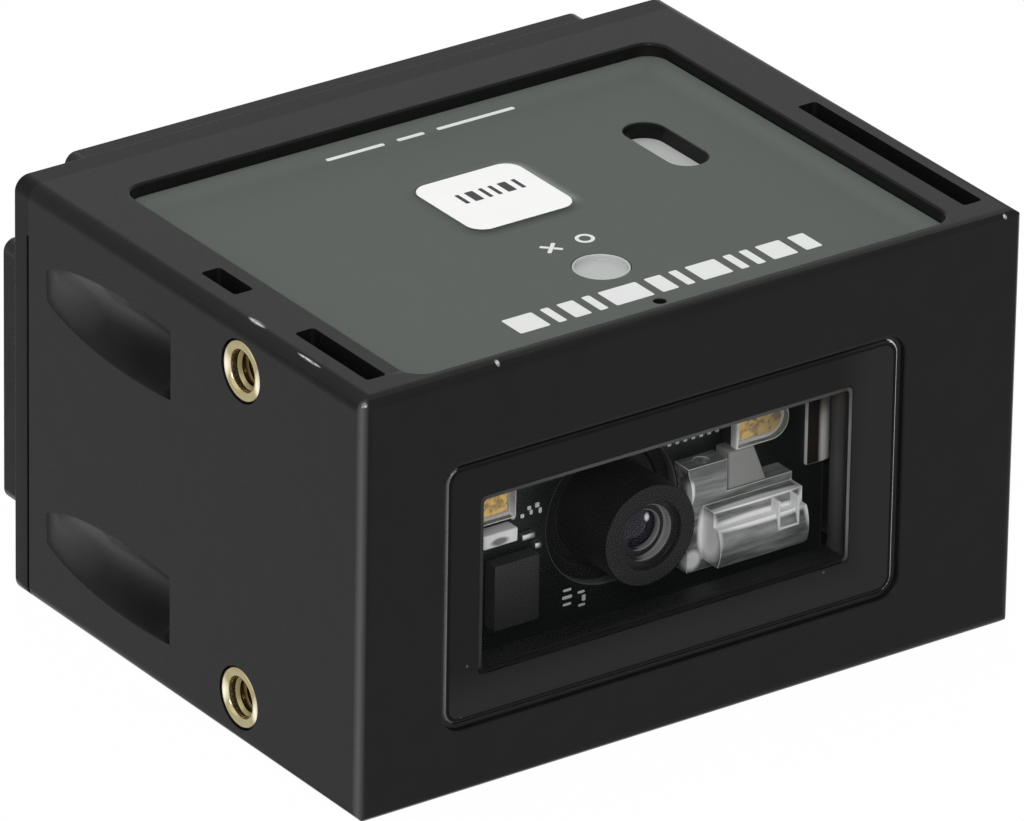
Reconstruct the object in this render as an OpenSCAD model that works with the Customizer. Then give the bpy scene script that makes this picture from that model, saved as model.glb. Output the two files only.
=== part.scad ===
// Fixed barcode reader: a small moulded box with a read window at the front,
// a label field with a push key on top and two threaded inserts in its left side.
// Frame: millimetres, +Z up, the window faces -Y, the mounting side faces -X,
// origin at the middle of the underside.

/* [Housing] */
// Width of the housing
body_w = 49; // [46:0.5:60]
// Height of the housing
body_h = 28.4; // [27:0.2:36]
// Depth of the front housing, from its front face to the seam of the rear cover
body_d = 36; // [34:0.5:48]
// Radius of the four long edges
edge_r = 1.0; // [0.4:0.1:1.6]
// Radius of the edges round the front face
front_r = 0.8; // [0.2:0.1:1.0]
// Thickness of the side walls
side_wall = 4.3; // [4.1:0.1:5]
// Thickness of the top wall, beside the label field
top_wall = 2.4; // [2.1:0.1:3]
// Thickness of the bottom wall
bottom_wall = 2.0; // [1.6:0.1:3]
// Thickness of the front wall
front_wall = 3.05; // [2.7:0.05:4]

/* [Window] */
// Offset of the window from the middle of the width
window_x = -1.4; // [-3:0.1:3]
// Offset of the window from the middle of the height
window_dz = -0.8; // [-1.5:0.1:1]
// Width of the window recess
window_w = 34.1; // [31:0.1:36]
// Height of the window recess
window_h = 17.9; // [16:0.1:19]
// Corner radius of the window recess
window_r = 1.4; // [0.5:0.1:3]
// Width of the clear opening
clear_w = 27.6; // [24:0.1:29]
// Height of the clear opening
clear_h = 11.9; // [10:0.1:13]
// Corner radius of the clear opening
clear_r = 0.4; // [0.2:0.1:1]
// How far the window plate lies behind the front face
plate_set = 0.3; // [0.2:0.05:0.9]
// Gap round the window plate
window_gap = 0.3; // [0.15:0.05:0.4]
// Thickness of the window plate
plate_t = 1.0; // [0.8:0.1:1.2]
// Thickness of the adhesive frame behind the window plate
adhesive_t = 0.3; // [0.2:0.05:0.4]

/* [Label field] */
// Margin between the side faces and the label field
label_side = 4.45; // [4:0.05:6]
// Margin between the front face and the label field
label_front = 1.2; // [0.7:0.05:2]
// Margin between the label field and the seam of the rear cover
label_back = 3.45; // [3:0.05:6]
// Corner radius of the label field
label_r = 1.5; // [1:0.1:3]
// Depth of the label field below the top face
label_recess = 1.1; // [0.6:0.05:1.2]
// Thickness of the label sheet
label_t = 0.25; // [0.15:0.05:0.4]
// Radius of the small pit in the label field
pit_r = 0.42; // [0.3:0.02:0.6]
// Place of that pit across the width
pit_x = -0.7; // [-3:0.1:10]
// Distance of that pit from the front face
pit_u = 3.1; // [2.6:0.05:4]
// Depth of that pit below the label
pit_deep = 0.8; // [0.5:0.05:0.9]

/* [Scan key] */
// Width of the key cap
key_w = 7.7; // [6:0.1:9]
// Depth of the key cap
key_d = 7.35; // [5.4:0.05:8]
// Corner radius of the key cap
key_r = 1.2; // [0.5:0.1:2]
// Place of the key across the width
key_x = -0.7; // [-4:0.1:3]
// Distance of the key from the front face
key_u = 20.45; // [17:0.05:22]
// How far the key stands above the label
key_proud = 0.15; // [0.1:0.05:0.5]
// Gap round the key cap
key_gap = 0.2; // [0.15:0.01:0.3]
// Travel of the key
key_travel = 0.25; // [0.2:0.05:0.35]
// Thickness of the flange that keeps the key in the housing
key_flange_t = 0.8; // [0.6:0.1:1]
// Width of that flange round the cap
key_flange_w = 0.7; // [0.5:0.1:1]
// Side length of the push switch under the key
switch_w = 6.0; // [5:0.1:6.5]
// Height of the push switch
switch_h = 1.8; // [1.6:0.1:2]
// Radius of the plunger of the push switch
plunger_r = 1.6; // [1.2:0.1:2]
// How far the plunger stands above the push switch
plunger_proud = 0.5; // [0.4:0.05:0.6]
// How far the plunger reaches into the push switch
plunger_sunk = 0.7; // [0.5:0.05:0.8]

/* [Indicator] */
// Radius of the indicator lens
lamp_r = 1.8; // [1.5:0.05:2.4]
// Place of the indicator across the width
lamp_x = -0.85; // [-5:0.05:5]
// Distance of the indicator from the front face
lamp_u = 8.95; // [7:0.05:11]
// Depth of the dish in the indicator lens
lamp_dish = 0.35; // [0.2:0.05:0.6]
// Width of the rim round that dish
lamp_rim = 0.15; // [0.1:0.01:0.3]
// Width and height of the foot that keeps the indicator lens in the housing
lamp_foot = 0.6; // [0.4:0.05:0.8]
// Side length of the indicator diode
lamp_led_w = 1.6; // [1:0.1:2.4]
// Height of the indicator diode
lamp_led_h = 0.8; // [0.5:0.1:1.2]

/* [Sounder] */
// Width of the sound slot
vent_w = 2.85; // [2:0.05:4]
// Length of the sound slot
vent_len = 7.2; // [6:0.1:9]
// Place of the sound slot across the width
vent_x = 12.7; // [9:0.1:14]
// Distance of the sound slot from the front face
vent_u = 21.1; // [18:0.1:24]
// Thickness of the membrane under the sound slot
membrane_t = 0.4; // [0.3:0.05:0.5]
// Width of the glued edge of the membrane
membrane_edge = 0.8; // [0.5:0.1:1.2]
// Radius of the sounder
sounder_r = 4.25; // [3.5:0.05:5]
// Height of the sounder
sounder_h = 2.9; // [2:0.1:3.1]
// Radius of the hole in the sounder
sounder_mouth = 0.7; // [0.5:0.05:1]

/* [Core slots] */
// Width of the core slots in the top face
slot_w = 1.4; // [0.8:0.05:1.5]
// Depth of the core slots
slot_deep = 10; // [4:0.5:14]
// Skin between the left face and its core slots
slot_skin_left = 1.9; // [1.5:0.05:2.1]
// Skin between the right face and its core slot
slot_skin_right = 1.5; // [1.3:0.05:2.1]
// Distance of the core slots from the front face
slot_front = 2.35; // [1.5:0.05:4]
// Length of the whole row of core slots
slot_len = 17.2; // [16:0.1:17.5]
// How much further back the left row of core slots reaches
slot_extra = 0.5; // [0:0.1:0.5]
// Corner radius of the core slots
slot_r = 0.25; // [0.2:0.05:0.4]
// Length of the solid boss between the two left core slots
slot_boss = 6.35; // [5:0.05:7]
// Offset of that boss behind the inserts
slot_shift = 0.3; // [0:0.1:0.6]

/* [Side scoops] */
// Distance between the two scoops in the left face
scoop_pitch = 16.6; // [12:0.1:17]
// Distance of the flat scoop end from the front face
scoop_front = 20.4; // [19:0.1:23]
// Distance of the scoop tip from the seam of the rear cover
scoop_back = 1.15; // [1:0.05:4]
// Radius of the scoop at its flat end
scoop_r = 2.2; // [2.2:0.05:3]
// Radius of the scoop at its tip
scoop_tip_r = 5.2; // [4:0.1:6]
// Depth of the scoop at its flat end
scoop_deep = 1.75; // [1:0.05:1.9]

/* [Mounting inserts] */
// Distance between the two threaded inserts
insert_pitch = 22; // [18:0.1:22.4]
// Distance of the inserts from the front face
insert_u = 12.9; // [12:0.1:14]
// Outer radius of an insert
insert_r = 2.0; // [1.9:0.05:2.2]
// Radius of the tapped bore of an insert
insert_bore_r = 1.25; // [1:0.05:1.5]
// Length of an insert
insert_len = 3.9; // [3:0.1:4]
// Width of the chamfer at the mouth of an insert
insert_chamfer = 0.15; // [0.1:0.05:0.4]

/* [Rear cover] */
// Thickness of the flange of the rear cover
flange_t = 1.6; // [1:0.1:2]
// Width of the groove between the front housing and the flange
seam_gap = 0.2; // [0.1:0.05:0.4]
// Depth of that groove
seam_deep = 0.5; // [0.3:0.05:0.8]
// Height of the part under the top face where that groove is closed
seam_top = 3.4; // [2:0.1:5]
// Height of the raised panel behind the flange
panel_t = 2.2; // [1:0.1:3]
// Distance of the raised panel from the outline of the flange
panel_in = 0.6; // [0.3:0.05:1]
// Width of the corner notches of the raised panel
corner_w = 5.1; // [4.6:0.1:6]
// Height of the corner notches of the raised panel
corner_h = 5.3; // [4.6:0.1:6]
// Corner radius of the raised panel
panel_r = 0.8; // [0.3:0.1:1.2]
// Length of the locating lip
lip_len = 1.6; // [1.2:0.1:2.5]
// Thickness of the locating lip
lip_t = 1.4; // [1:0.1:2]
// Thickness of the seal
seal_t = 0.9; // [0.6:0.1:1]
// Width of the seal beyond the inner space
seal_w = 0.65; // [0.4:0.05:0.7]

/* [Screws] */
// Distance of the cover screws from the side faces
screw_side = 2.45; // [2.3:0.05:2.6]
// Distance of the cover screws from the top and the underside
screw_edge = 2.6; // [2.4:0.05:3]
// Radius of a screw's shank
screw_r = 0.85; // [0.7:0.05:1]
// Length of a screw under its head
screw_len = 6.4; // [5:0.1:8]
// Radius of a screw's head
head_r = 1.8; // [1.5:0.05:1.9]
// Height of a screw's head
head_h = 1.15; // [0.9:0.05:1.4]
// Width of the cross recess in a screw's head
cross_w = 0.45; // [0.3:0.05:0.6]

/* [Cable inlet] */
// Radius of the bore for the cable
inlet_r = 2.2; // [1.5:0.1:3]
// Radius of the grommet in the rear cover
grommet_r = 4.2; // [3.8:0.1:5]
// Width of the grommet's inner flange
grommet_edge = 1.2; // [0.8:0.1:2]
// Thickness of the grommet's inner flange
grommet_t = 1.2; // [0.8:0.1:2]
// Height of the inlet above the underside
inlet_z = 11; // [9:0.5:13]

/* [Interface board] */
// Space between the top wall and the board
board_drop = 3.8; // [3.6:0.1:4.2]
// Thickness of the board
board_t = 1.2; // [0.8:0.1:1.6]
// Width of the guide ribs that hold the board
rib_w = 1.2; // [0.8:0.1:2]
// Thickness of the guide ribs
rib_t = 1.0; // [0.8:0.1:1.2]
// Width of the cable connector
plug_w = 10; // [8:0.5:14]
// Depth of the cable connector
plug_d = 4.2; // [3.5:0.1:6]
// Height of the cable connector
plug_h = 4.5; // [3.5:0.1:5]
// Wall of the cable connector
plug_wall = 0.7; // [0.5:0.05:1]
// Distance of the cable connector from the seam of the rear cover
plug_back = 4.2; // [3.5:0.1:8]

/* [Imager] */
// Length of the bosses that carry the imager
boss_len = 7.55; // [7:0.05:9]
// Radius of those bosses
boss_r = 2.3; // [2.1:0.1:2.5]
// Height of those bosses above the underside
boss_z = 6.4; // [6:0.1:8]
// Space under the imager
imager_foot = 1.0; // [0.5:0.1:1.5]
// Space between the imager and the interface board
imager_gap = 1.8; // [1.2:0.1:2.5]
// Reach of the imager to the left of the window's middle
imager_left = 13.1; // [12.5:0.1:14]
// Reach of the imager to the right of the window's middle
imager_right = 16; // [15.5:0.1:16.4]
// Thickness of the imager board
imager_board_t = 1.0; // [0.8:0.1:1.2]
// Thickness of the carrier plate
carrier_t = 2.0; // [1.5:0.1:3]
// Width of the carrier's rim
carrier_rim = 1.5; // [1:0.1:2]
// Depth of the carrier's rim
carrier_rim_d = 3.0; // [2:0.1:4]
// Thickness of the decoder board
decoder_t = 1.2; // [0.8:0.1:1.6]
// Side length of the processor
processor_w = 9; // [7:0.5:10]
// Height of the processor
processor_h = 1.1; // [0.8:0.1:1.4]

/* [Lens] */
// Offset of the lens axis from the window's middle, across the width
lens_dx = -0.05; // [-1:0.05:1]
// Offset of the lens axis from the window's middle, in height
lens_dz = -1.2; // [-1.5:0.05:0.5]
// Gap between the window plate and the lens barrel
lens_gap = 1.2; // [0.5:0.05:1.5]
// Radius of the front part of the lens barrel
barrel_r = 3.35; // [3.1:0.05:3.6]
// Radius of the mouth of the lens barrel
mouth_r = 2.3; // [2.1:0.05:2.5]
// Depth of the stepped mouth, down to the glass
mouth_deep = 1.4; // [1.2:0.05:1.6]
// Radius of the aperture in the lens barrel
aperture_r = 1.3; // [1:0.05:1.6]
// Radius of the glass in the lens barrel
glass_r = 2.4; // [2.2:0.05:2.6]
// Thickness of a glass lens at its edge
glass_t = 0.9; // [0.7:0.05:1.1]
// Bulge of the front lens
glass_bulge = 0.3; // [0.2:0.05:0.35]
// Thickness of the ring that keeps the glass in the lens barrel
retainer_t = 0.5; // [0.4:0.05:0.6]
// Radius of the lens holder
holder_r = 5.3; // [5.15:0.05:5.6]
// Wall of the lens holder
holder_wall = 1.2; // [1.1:0.05:1.3]
// Length of the lens holder, between the light board and the imager board
holder_len = 2.2; // [2:0.1:2.6]
// Width of the image sensor
sensor_w = 5.6; // [4.5:0.1:5.8]
// Height of the image sensor
sensor_h = 4.6; // [3.8:0.1:4.8]
// Thickness of the image sensor
sensor_t = 0.9; // [0.6:0.1:1]

/* [Light board] */
// Thickness of the light board
light_board_t = 0.8; // [0.6:0.1:1]
// Radius of the hole in the light board round the lens
light_hole_r = 4.85; // [4.5:0.05:5]

/* [Aimer and lights] */
// Distance of the aimer block from the lens axis
aimer_dx = 5.85; // [5.5:0.05:6.5]
// Width of the aimer block
aimer_w = 6.7; // [6:0.1:7]
// Height of the aimer block
aimer_h = 3.6; // [3:0.1:3.6]
// Top of the aimer block below the lens axis
aimer_drop = 0.7; // [0.5:0.05:0.9]
// Distance of the aimer block's front from the barrel's front
aimer_set = 0.7; // [0.4:0.05:1.2]
// Depth of the aimer block in front of its frame
aimer_nose = 1.9; // [1.5:0.1:2.2]
// Depth of the ledge in the front of the aimer block
aimer_ledge = 0.8; // [0.6:0.05:1]
// Height of the aimer block above that ledge
aimer_step = 1.05; // [0.8:0.05:1.3]
// Height of the aimer's frame above the aimer block
frame_rise = 0.55; // [0.4:0.05:0.7]
// Height of the aimer's foot below the aimer block
frame_foot = 0.7; // [0.6:0.1:1.2]
// Height of the aimer's ear beside the lens
aimer_ear = 2.2; // [1.9:0.05:3.2]
// Width of the aimer's ear beside the lens
aimer_ear_w = 2.9; // [2.5:0.1:3.2]
// Radius of the hole in the aimer's ear
aimer_hole_r = 0.5; // [0.3:0.05:0.7]
// Bulge of the front of the aimer block
aimer_bulge = 0.3; // [0.2:0.05:0.4]
// Radius of the aimer's two pegs in the light board
peg_r = 0.5; // [0.3:0.05:0.7]
// Width of the aimer diode at its top
aimer_led_w = 1.9; // [1.6:0.1:2.2]
// How much wider the aimer diode is at its foot
aimer_led_spread = 1.0; // [0.6:0.1:1.4]
// Distance of the two lights from the lens axis
light_dx = 10.2; // [10:0.1:10.6]
// Height of the lights above the lens axis
light_dz = 3.75; // [3.6:0.05:4.2]
// Width of a light
light_w = 4.0; // [3.4:0.1:4.2]
// Height of a light
light_h = 2.6; // [2.4:0.1:2.8]
// Length of a light
light_len = 1.6; // [1.4:0.1:1.8]
// Thickness of the dark base of a light
light_base_t = 0.9; // [0.7:0.05:1]
// Thickness of the clear skin of a light
light_skin = 0.3; // [0.2:0.05:0.4]

/* [Small board parts] */
// Width of the coil
coil_w = 2.55; // [2.2:0.05:2.8]
// Height of the coil
coil_h = 0.95; // [0.7:0.05:1.1]
// Thickness of the coil
coil_t = 1.1; // [0.8:0.1:1.4]
// Distance of the coil's left side from the hole round the lens
coil_out = 5.4; // [5.2:0.05:5.6]
// Distance of the coil's underside above the lens axis
coil_rise = 0.5; // [0.1:0.05:0.7]
// Width of the larger chip capacitor
chip_w = 0.95; // [0.7:0.05:1.1]
// Height of a chip capacitor
chip_h = 0.4; // [0.3:0.05:0.5]
// Thickness of a chip capacitor
chip_t = 0.5; // [0.4:0.05:0.6]
// Gap between the two chip capacitors
chip_gap = 0.4; // [0.2:0.05:0.5]
// Distance of the chip capacitors from the hole round the lens
chip_out = 2.1; // [2:0.05:2.3]
// Width of the socket
socket_w = 3.3; // [3:0.1:3.5]
// Height of the socket
socket_h = 4.4; // [4:0.1:5.6]
// Thickness of the socket
socket_t = 1.05; // [0.8:0.05:1.4]
// Width of the mouth of the socket
socket_mouth = 0.4; // [0.3:0.05:0.6]
// Distance of the socket's left side from the hole round the lens
socket_out = 4.5; // [4.2:0.05:4.8]
// Distance of the socket's upper side below the lens axis
socket_drop = 0.85; // [0.6:0.05:1.1]

/* [Flex cable] */
// Height of the flex cable
flex_h = 6.0; // [5:0.1:6.6]
// Distance of the flex cable's lower edge below the lens axis
flex_drop = 0.8; // [0.5:0.1:1.5]
// Length of the run on the light board
flex_run = 1.5; // [1.2:0.1:2]
// Length of the tail on the decoder board
flex_tail = 2.5; // [2:0.1:3]
// Thickness of the flex cable
flex_t = 0.3; // [0.2:0.05:0.4]
// Outer radius of the front bend of the flex cable
flex_bend = 0.75; // [0.5:0.05:1]

/* [Fits] */
// Gap of pieces that are pressed, glued or screwed into one another
close_gap = 0.05; // [0.02:0.01:0.1]
// Gap of pieces that slide or drop into one another
loose_gap = 0.15; // [0.1:0.01:0.25]

/* [Hidden] */
$fn = 96;
// Overrun of a cut past the face that it opens
over = 1;

total_d = body_d + flange_t + panel_t;
front_y = -total_d / 2;
inner_w = body_w - 2 * side_wall;
inner_top = body_h - top_wall;
inner_h = inner_top - bottom_wall;
inner_mid = bottom_wall + inner_h / 2;

window_z = body_h / 2 + window_dz;
window_ledge = plate_set + plate_t + adhesive_t;
plate_w = window_w - 2 * window_gap;
plate_h = window_h - 2 * window_gap;

label_w = body_w - 2 * label_side;
label_d = body_d - label_front - label_back;
label_mid = label_front + label_d / 2;
label_floor = body_h - label_recess;
label_top = label_floor + label_t;

board_top = inner_top - board_drop;
board_bottom = board_top - board_t;
board_front = front_wall + 2 * loose_gap;
board_back = body_d - lip_len - 2 * loose_gap;
switch_top = board_top + switch_h;
plunger_top = switch_top + plunger_proud;
key_flange_top = inner_top - close_gap;

carrier_u = front_wall + boss_len;
imager_u = carrier_u - imager_board_t;
decoder_u = carrier_u + carrier_t + carrier_rim_d;
imager_bottom = bottom_wall + imager_foot;
imager_top = board_bottom - imager_gap;
imager_x0 = window_x - imager_left;
imager_x1 = window_x + imager_right;
boss_x = inner_w / 2 - max(boss_r - 2 * loose_gap, head_r + loose_gap);

lens_x = window_x + lens_dx;
lens_z = window_z + lens_dz;
barrel_u = plate_set + plate_t + lens_gap;
holder_u = imager_u - holder_len;
light_u = holder_u - light_board_t;
barrel_end = imager_u - sensor_t - 4 * loose_gap;
thread_r = holder_r - holder_wall - close_gap;
aperture_u = barrel_u + mouth_deep;

aimer_x0 = lens_x + aimer_dx;
aimer_x1 = aimer_x0 + aimer_w;
aimer_z1 = lens_z - aimer_drop;
aimer_z0 = aimer_z1 - aimer_h;
aimer_u = barrel_u + aimer_set;
frame_u = aimer_u + aimer_nose;
frame_x0 = lens_x + light_hole_r - loose_gap;
frame_z0 = aimer_z0 - frame_foot;
frame_z1 = aimer_z1 + frame_rise;
light_z = lens_z + light_dz;

// Moves a piece drawn from the front face backwards into the frame of the part
module seated() {
    translate([0, front_y, 0]) children();
}

// Extrudes an outline drawn in X and Z from depth u0 to depth u1
module along_y(u0, u1) {
    translate([0, u1, 0]) rotate([90, 0, 0]) linear_extrude(u1 - u0) children();
}

// Extrudes an outline drawn in Y and Z from x0 to x1
module along_x(x0, x1) {
    translate([x0, 0, 0]) rotate([90, 0, 90]) linear_extrude(x1 - x0) children();
}

// Extrudes an outline drawn in X and Y from z0 to z1
module along_z(z0, z1) {
    translate([0, 0, z0]) linear_extrude(z1 - z0) children();
}

// Round bar along the depth
module bar_y(x, z, r, u0, u1) {
    translate([x, u1, z]) rotate([90, 0, 0]) cylinder(r = r, h = u1 - u0);
}

// Box from one corner to the other
module span(a, b) {
    translate(a) cube(b - a);
}

// Rectangle about the origin with round corners
module round_rect(w, h, r) {
    square([w - 2 * r, h], center = true);
    square([w, h - 2 * r], center = true);
    for (x = [-1, 1], y = [-1, 1])
        translate([x * (w / 2 - r), y * (h / 2 - r)]) circle(r);
}

// Rectangle from y = 0 upwards whose two lower corners are round
module round_front(x0, x1, d, r) {
    translate([x0, r]) square([x1 - x0, d - r]);
    translate([x0 + r, 0]) square([x1 - x0 - 2 * r, d]);
    for (x = [x0 + r, x1 - r]) translate([x, r]) circle(r);
}

// Outline of the key cap, grown all round
module key_outline(grow) {
    round_rect(key_w + 2 * grow, key_d + 2 * grow, key_r + grow);
}

// Long slot with round ends, its length along Y
module oblong(w, len) {
    square([w, len - w], center = true);
    for (y = [-1, 1]) translate([0, y * (len - w) / 2]) circle(w / 2);
}

// Solid envelope of the front housing
module housing_envelope() {
    intersection() {
        along_y(0, body_d) translate([0, body_h / 2]) round_rect(body_w, body_h, edge_r);
        along_z(-over, body_h + over) round_front(-body_w / 2, body_w / 2, body_d, front_r);
        along_x(-body_w, body_w) mirror([1, -1]) round_front(0, body_h, body_d, front_r);
    }
}

// Inner space, open at the back, with the rebate for the seal
module housing_inside() {
    along_y(front_wall, body_d + over)
        translate([0, inner_mid]) square([inner_w, inner_h], center = true);
    along_y(body_d - seal_t, body_d + over) translate([0, inner_mid])
        square([inner_w + 2 * seal_w, inner_h + 2 * seal_w], center = true);
}

// Guide ribs above and below each side edge of the interface board
module guide_ribs() {
    for (side = [-1, 1], z = [board_bottom - rib_t, board_top + close_gap])
        translate([side * (inner_w / 2 - rib_w / 2 + close_gap), 0, z])
            translate([-rib_w / 2 - close_gap, front_wall - close_gap, 0])
                cube([rib_w + 2 * close_gap, board_back - front_wall, rib_t]);
}

// Recess for the window plate and the opening behind it
module window_cut() {
    along_y(-over, window_ledge) translate([window_x, window_z]) round_rect(window_w, window_h, window_r);
    along_y(-over, front_wall + over) translate([window_x, window_z]) round_rect(clear_w, clear_h, clear_r);
}

// Label field with its pit and the holes for the key, lamp and sounder
module label_cut() {
    along_z(label_floor, body_h + over) translate([0, label_mid]) round_rect(label_w, label_d, label_r);
    along_z(label_floor - pit_deep, body_h) translate([pit_x, pit_u]) circle(pit_r);
    along_z(inner_top - over, body_h) translate([key_x, key_u]) key_outline(key_gap);
    along_z(inner_top - over, body_h) translate([lamp_x, lamp_u]) circle(lamp_r + close_gap);
    along_z(inner_top - over, body_h) translate([vent_x, vent_u]) oblong(vent_w, vent_len);
    along_z(inner_top - over, inner_top + membrane_t) translate([vent_x, vent_u])
        oblong(vent_w + 2 * membrane_edge + 2 * close_gap, vent_len + 2 * membrane_edge + 2 * close_gap);
}

// One core slot from depth u0 to depth u1
module core_slot(x, u0, u1) {
    along_z(body_h - slot_deep, body_h + over)
        translate([x, (u0 + u1) / 2]) round_rect(slot_w, u1 - u0, slot_r);
}

// Core slots that open in the top face beside the label field
module core_slots() {
    boss_u0 = insert_u - slot_boss / 2 + slot_shift;
    left_x = -body_w / 2 + slot_skin_left + slot_w / 2;
    right_x = body_w / 2 - slot_skin_right - slot_w / 2;
    slot_end = slot_front + slot_len;
    core_slot(left_x, slot_front, boss_u0);
    core_slot(left_x, boss_u0 + slot_boss, slot_end + slot_extra);
    core_slot(right_x, slot_front, slot_end);
}

// Two scoops in the left face: slanted cones, flat and deepest at their front end, with a blunt tip
module side_scoops() {
    tip_u = body_d - scoop_back;
    run = tip_u - scoop_front;
    reach = 1.2;
    slant = atan(scoop_deep / run);
    taper = atan((scoop_tip_r - scoop_r) / run);
    end_r = scoop_tip_r - reach * (scoop_tip_r - scoop_r);
    for (side = [-1, 1])
        intersection() {
            translate([-body_w / 2, tip_u, body_h / 2 + side * scoop_pitch / 2])
                rotate([0, 0, slant + taper]) translate([-scoop_tip_r, 0, 0]) rotate([90, 0, 0])
                    cylinder(r1 = scoop_tip_r, r2 = end_r, h = reach * run);
            span([-body_w, scoop_front, 0], [0, body_d, body_h]);
        }
}

// Bores for the two threaded inserts
module insert_bores() {
    for (side = [-1, 1])
        translate([-body_w / 2 - over, insert_u, body_h / 2 + side * insert_pitch / 2])
            rotate([0, 90, 0]) cylinder(r = insert_r + close_gap, h = insert_len + over);
}

// Repeats a piece at the four cover screws
module at_cover_screws() {
    for (x = [-1, 1], z = [screw_edge, body_h - screw_edge])
        translate([x * (body_w / 2 - screw_side), body_d + flange_t, z]) children();
}

// Repeats a piece at the two imager screws
module at_imager_screws() {
    for (x = [-1, 1])
        translate([x * boss_x, carrier_u + carrier_t, boss_z]) children();
}

// Round hole or pilot from a screw's seat forwards
module screw_hole(r, reach) {
    rotate([90, 0, 0]) cylinder(r = r, h = reach);
}

// Pan-head screw with a cross recess, its head behind its seat
module pan_screw() {
    rotate([90, 0, 0]) cylinder(r = screw_r, h = screw_len);
    difference() {
        rotate([-90, 0, 0]) rotate_extrude() round_head();
        for (turn = [0, 90])
            rotate([0, turn, 0])
                span([-0.6 * head_r, head_h / 2, -cross_w / 2], [0.6 * head_r, head_h + over, cross_w / 2]);
    }
}

// Half outline of a pan head
module round_head() {
    brim = head_h / 2;
    square([head_r - brim, head_h]);
    square([head_r, brim]);
    translate([head_r - brim, brim]) intersection() {
        circle(brim);
        square(brim);
    }
}

module front_housing() {
    color("#2b2b2b") seated() difference() {
        union() {
            difference() {
                housing_envelope();
                housing_inside();
            }
            guide_ribs();
            for (x = [-1, 1]) bar_y(x * boss_x, boss_z, boss_r, front_wall - close_gap, carrier_u);
        }
        window_cut();
        label_cut();
        core_slots();
        side_scoops();
        insert_bores();
        at_cover_screws() screw_hole(screw_r + close_gap, screw_len + loose_gap);
        at_imager_screws() screw_hole(screw_r + close_gap, screw_len + loose_gap);
    }
}

module rear_cover() {
    lip_w = inner_w - 2 * loose_gap;
    lip_h = inner_h - 2 * loose_gap;
    panel_w = body_w - 2 * panel_in;
    panel_h = body_h - 2 * panel_in;
    color("#303030") seated() difference() {
        union() {
            along_y(body_d, body_d + seam_gap) translate([0, body_h / 2])
                round_rect(body_w - 2 * seam_deep, body_h - 2 * seam_deep, edge_r);
            along_y(body_d, body_d + seam_gap) intersection() {
                translate([0, body_h / 2]) round_rect(body_w, body_h, edge_r);
                translate([-body_w / 2, body_h - seam_top]) square([body_w, seam_top]);
            }
            along_y(body_d + seam_gap, body_d + flange_t)
                translate([0, body_h / 2]) round_rect(body_w, body_h, edge_r);
            along_y(body_d + flange_t, total_d) translate([0, body_h / 2]) {
                round_rect(panel_w, body_h - 2 * corner_h, panel_r);
                round_rect(body_w - 2 * corner_w, panel_h, panel_r);
            }
            along_y(body_d - lip_len, body_d) translate([0, inner_mid]) difference() {
                square([lip_w, lip_h], center = true);
                square([lip_w - 2 * lip_t, lip_h - 2 * lip_t], center = true);
            }
        }
        at_cover_screws() translate([0, over, 0]) screw_hole(screw_r + loose_gap, flange_t + 2 * over);
        bar_y(0, inlet_z, grommet_r + close_gap, body_d - over, total_d + over);
    }
}

module rear_seal() {
    color("#1a1a1a") seated() along_y(body_d - seal_t, body_d) translate([0, inner_mid]) difference() {
        square([inner_w + 2 * seal_w - 2 * close_gap, inner_h + 2 * seal_w - 2 * close_gap], center = true);
        square([inner_w - 2 * (loose_gap - close_gap), inner_h - 2 * (loose_gap - close_gap)], center = true);
    }
}

module rear_cover_screws() {
    color("#4a4a4a") seated() at_cover_screws() pan_screw();
}

module cable_grommet() {
    color("#161616") seated() difference() {
        union() {
            bar_y(0, inlet_z, grommet_r, body_d - grommet_t, total_d);
            bar_y(0, inlet_z, grommet_r + grommet_edge, body_d - grommet_t, body_d);
        }
        bar_y(0, inlet_z, inlet_r, body_d - grommet_t - over, total_d + over);
    }
}

module threaded_inserts() {
    color("#c9a14a") seated() for (side = [-1, 1])
        translate([-body_w / 2, insert_u, body_h / 2 + side * insert_pitch / 2])
        rotate([0, 90, 0]) difference() {
            cylinder(r = insert_r, h = insert_len);
            translate([0, 0, -over]) cylinder(r = insert_bore_r, h = insert_len + 2 * over);
            cylinder(r1 = insert_bore_r + insert_chamfer, r2 = insert_bore_r, h = insert_chamfer);
        }
}

module window_plate() {
    color([0.25, 0.27, 0.3, 0.35]) seated() along_y(plate_set, plate_set + plate_t)
        translate([window_x, window_z])
            round_rect(plate_w, plate_h, window_r - window_gap);
}

module window_adhesive() {
    color("#0c0c0c") seated() along_y(plate_set + plate_t, window_ledge)
        translate([window_x, window_z]) difference() {
            round_rect(plate_w - 2 * close_gap, plate_h - 2 * close_gap, window_r - window_gap);
            round_rect(clear_w, clear_h, clear_r);
        }
}

module top_label() {
    color("#5e635f") seated() along_z(label_floor, label_top) difference() {
        translate([0, label_mid])
            round_rect(label_w - 2 * close_gap, label_d - 2 * close_gap, label_r - close_gap);
        translate([key_x, key_u]) key_outline(key_gap);
        translate([lamp_x, lamp_u]) circle(lamp_r + close_gap);
        translate([pit_x, pit_u]) circle(pit_r);
        translate([vent_x, vent_u]) oblong(vent_w, vent_len);
    }
}

module scan_key() {
    flange = 2 * key_flange_w;
    flange_bottom = key_flange_top - key_flange_t;
    color("#f4f4f2") seated() translate([key_x, key_u, 0]) {
        along_z(key_flange_top, label_top + key_proud) key_outline(0);
        along_z(flange_bottom, key_flange_top) round_rect(key_w + flange, key_d + flange, key_r);
        along_z(plunger_top, flange_bottom) circle(plunger_r);
    }
}

module push_switch() {
    color("#3a3a3c") seated() translate([key_x, key_u, 0]) difference() {
        along_z(board_top, switch_top) square(switch_w, center = true);
        along_z(switch_top - plunger_sunk - key_travel - loose_gap, switch_top + over)
            circle(plunger_r + loose_gap);
    }
}

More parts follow.
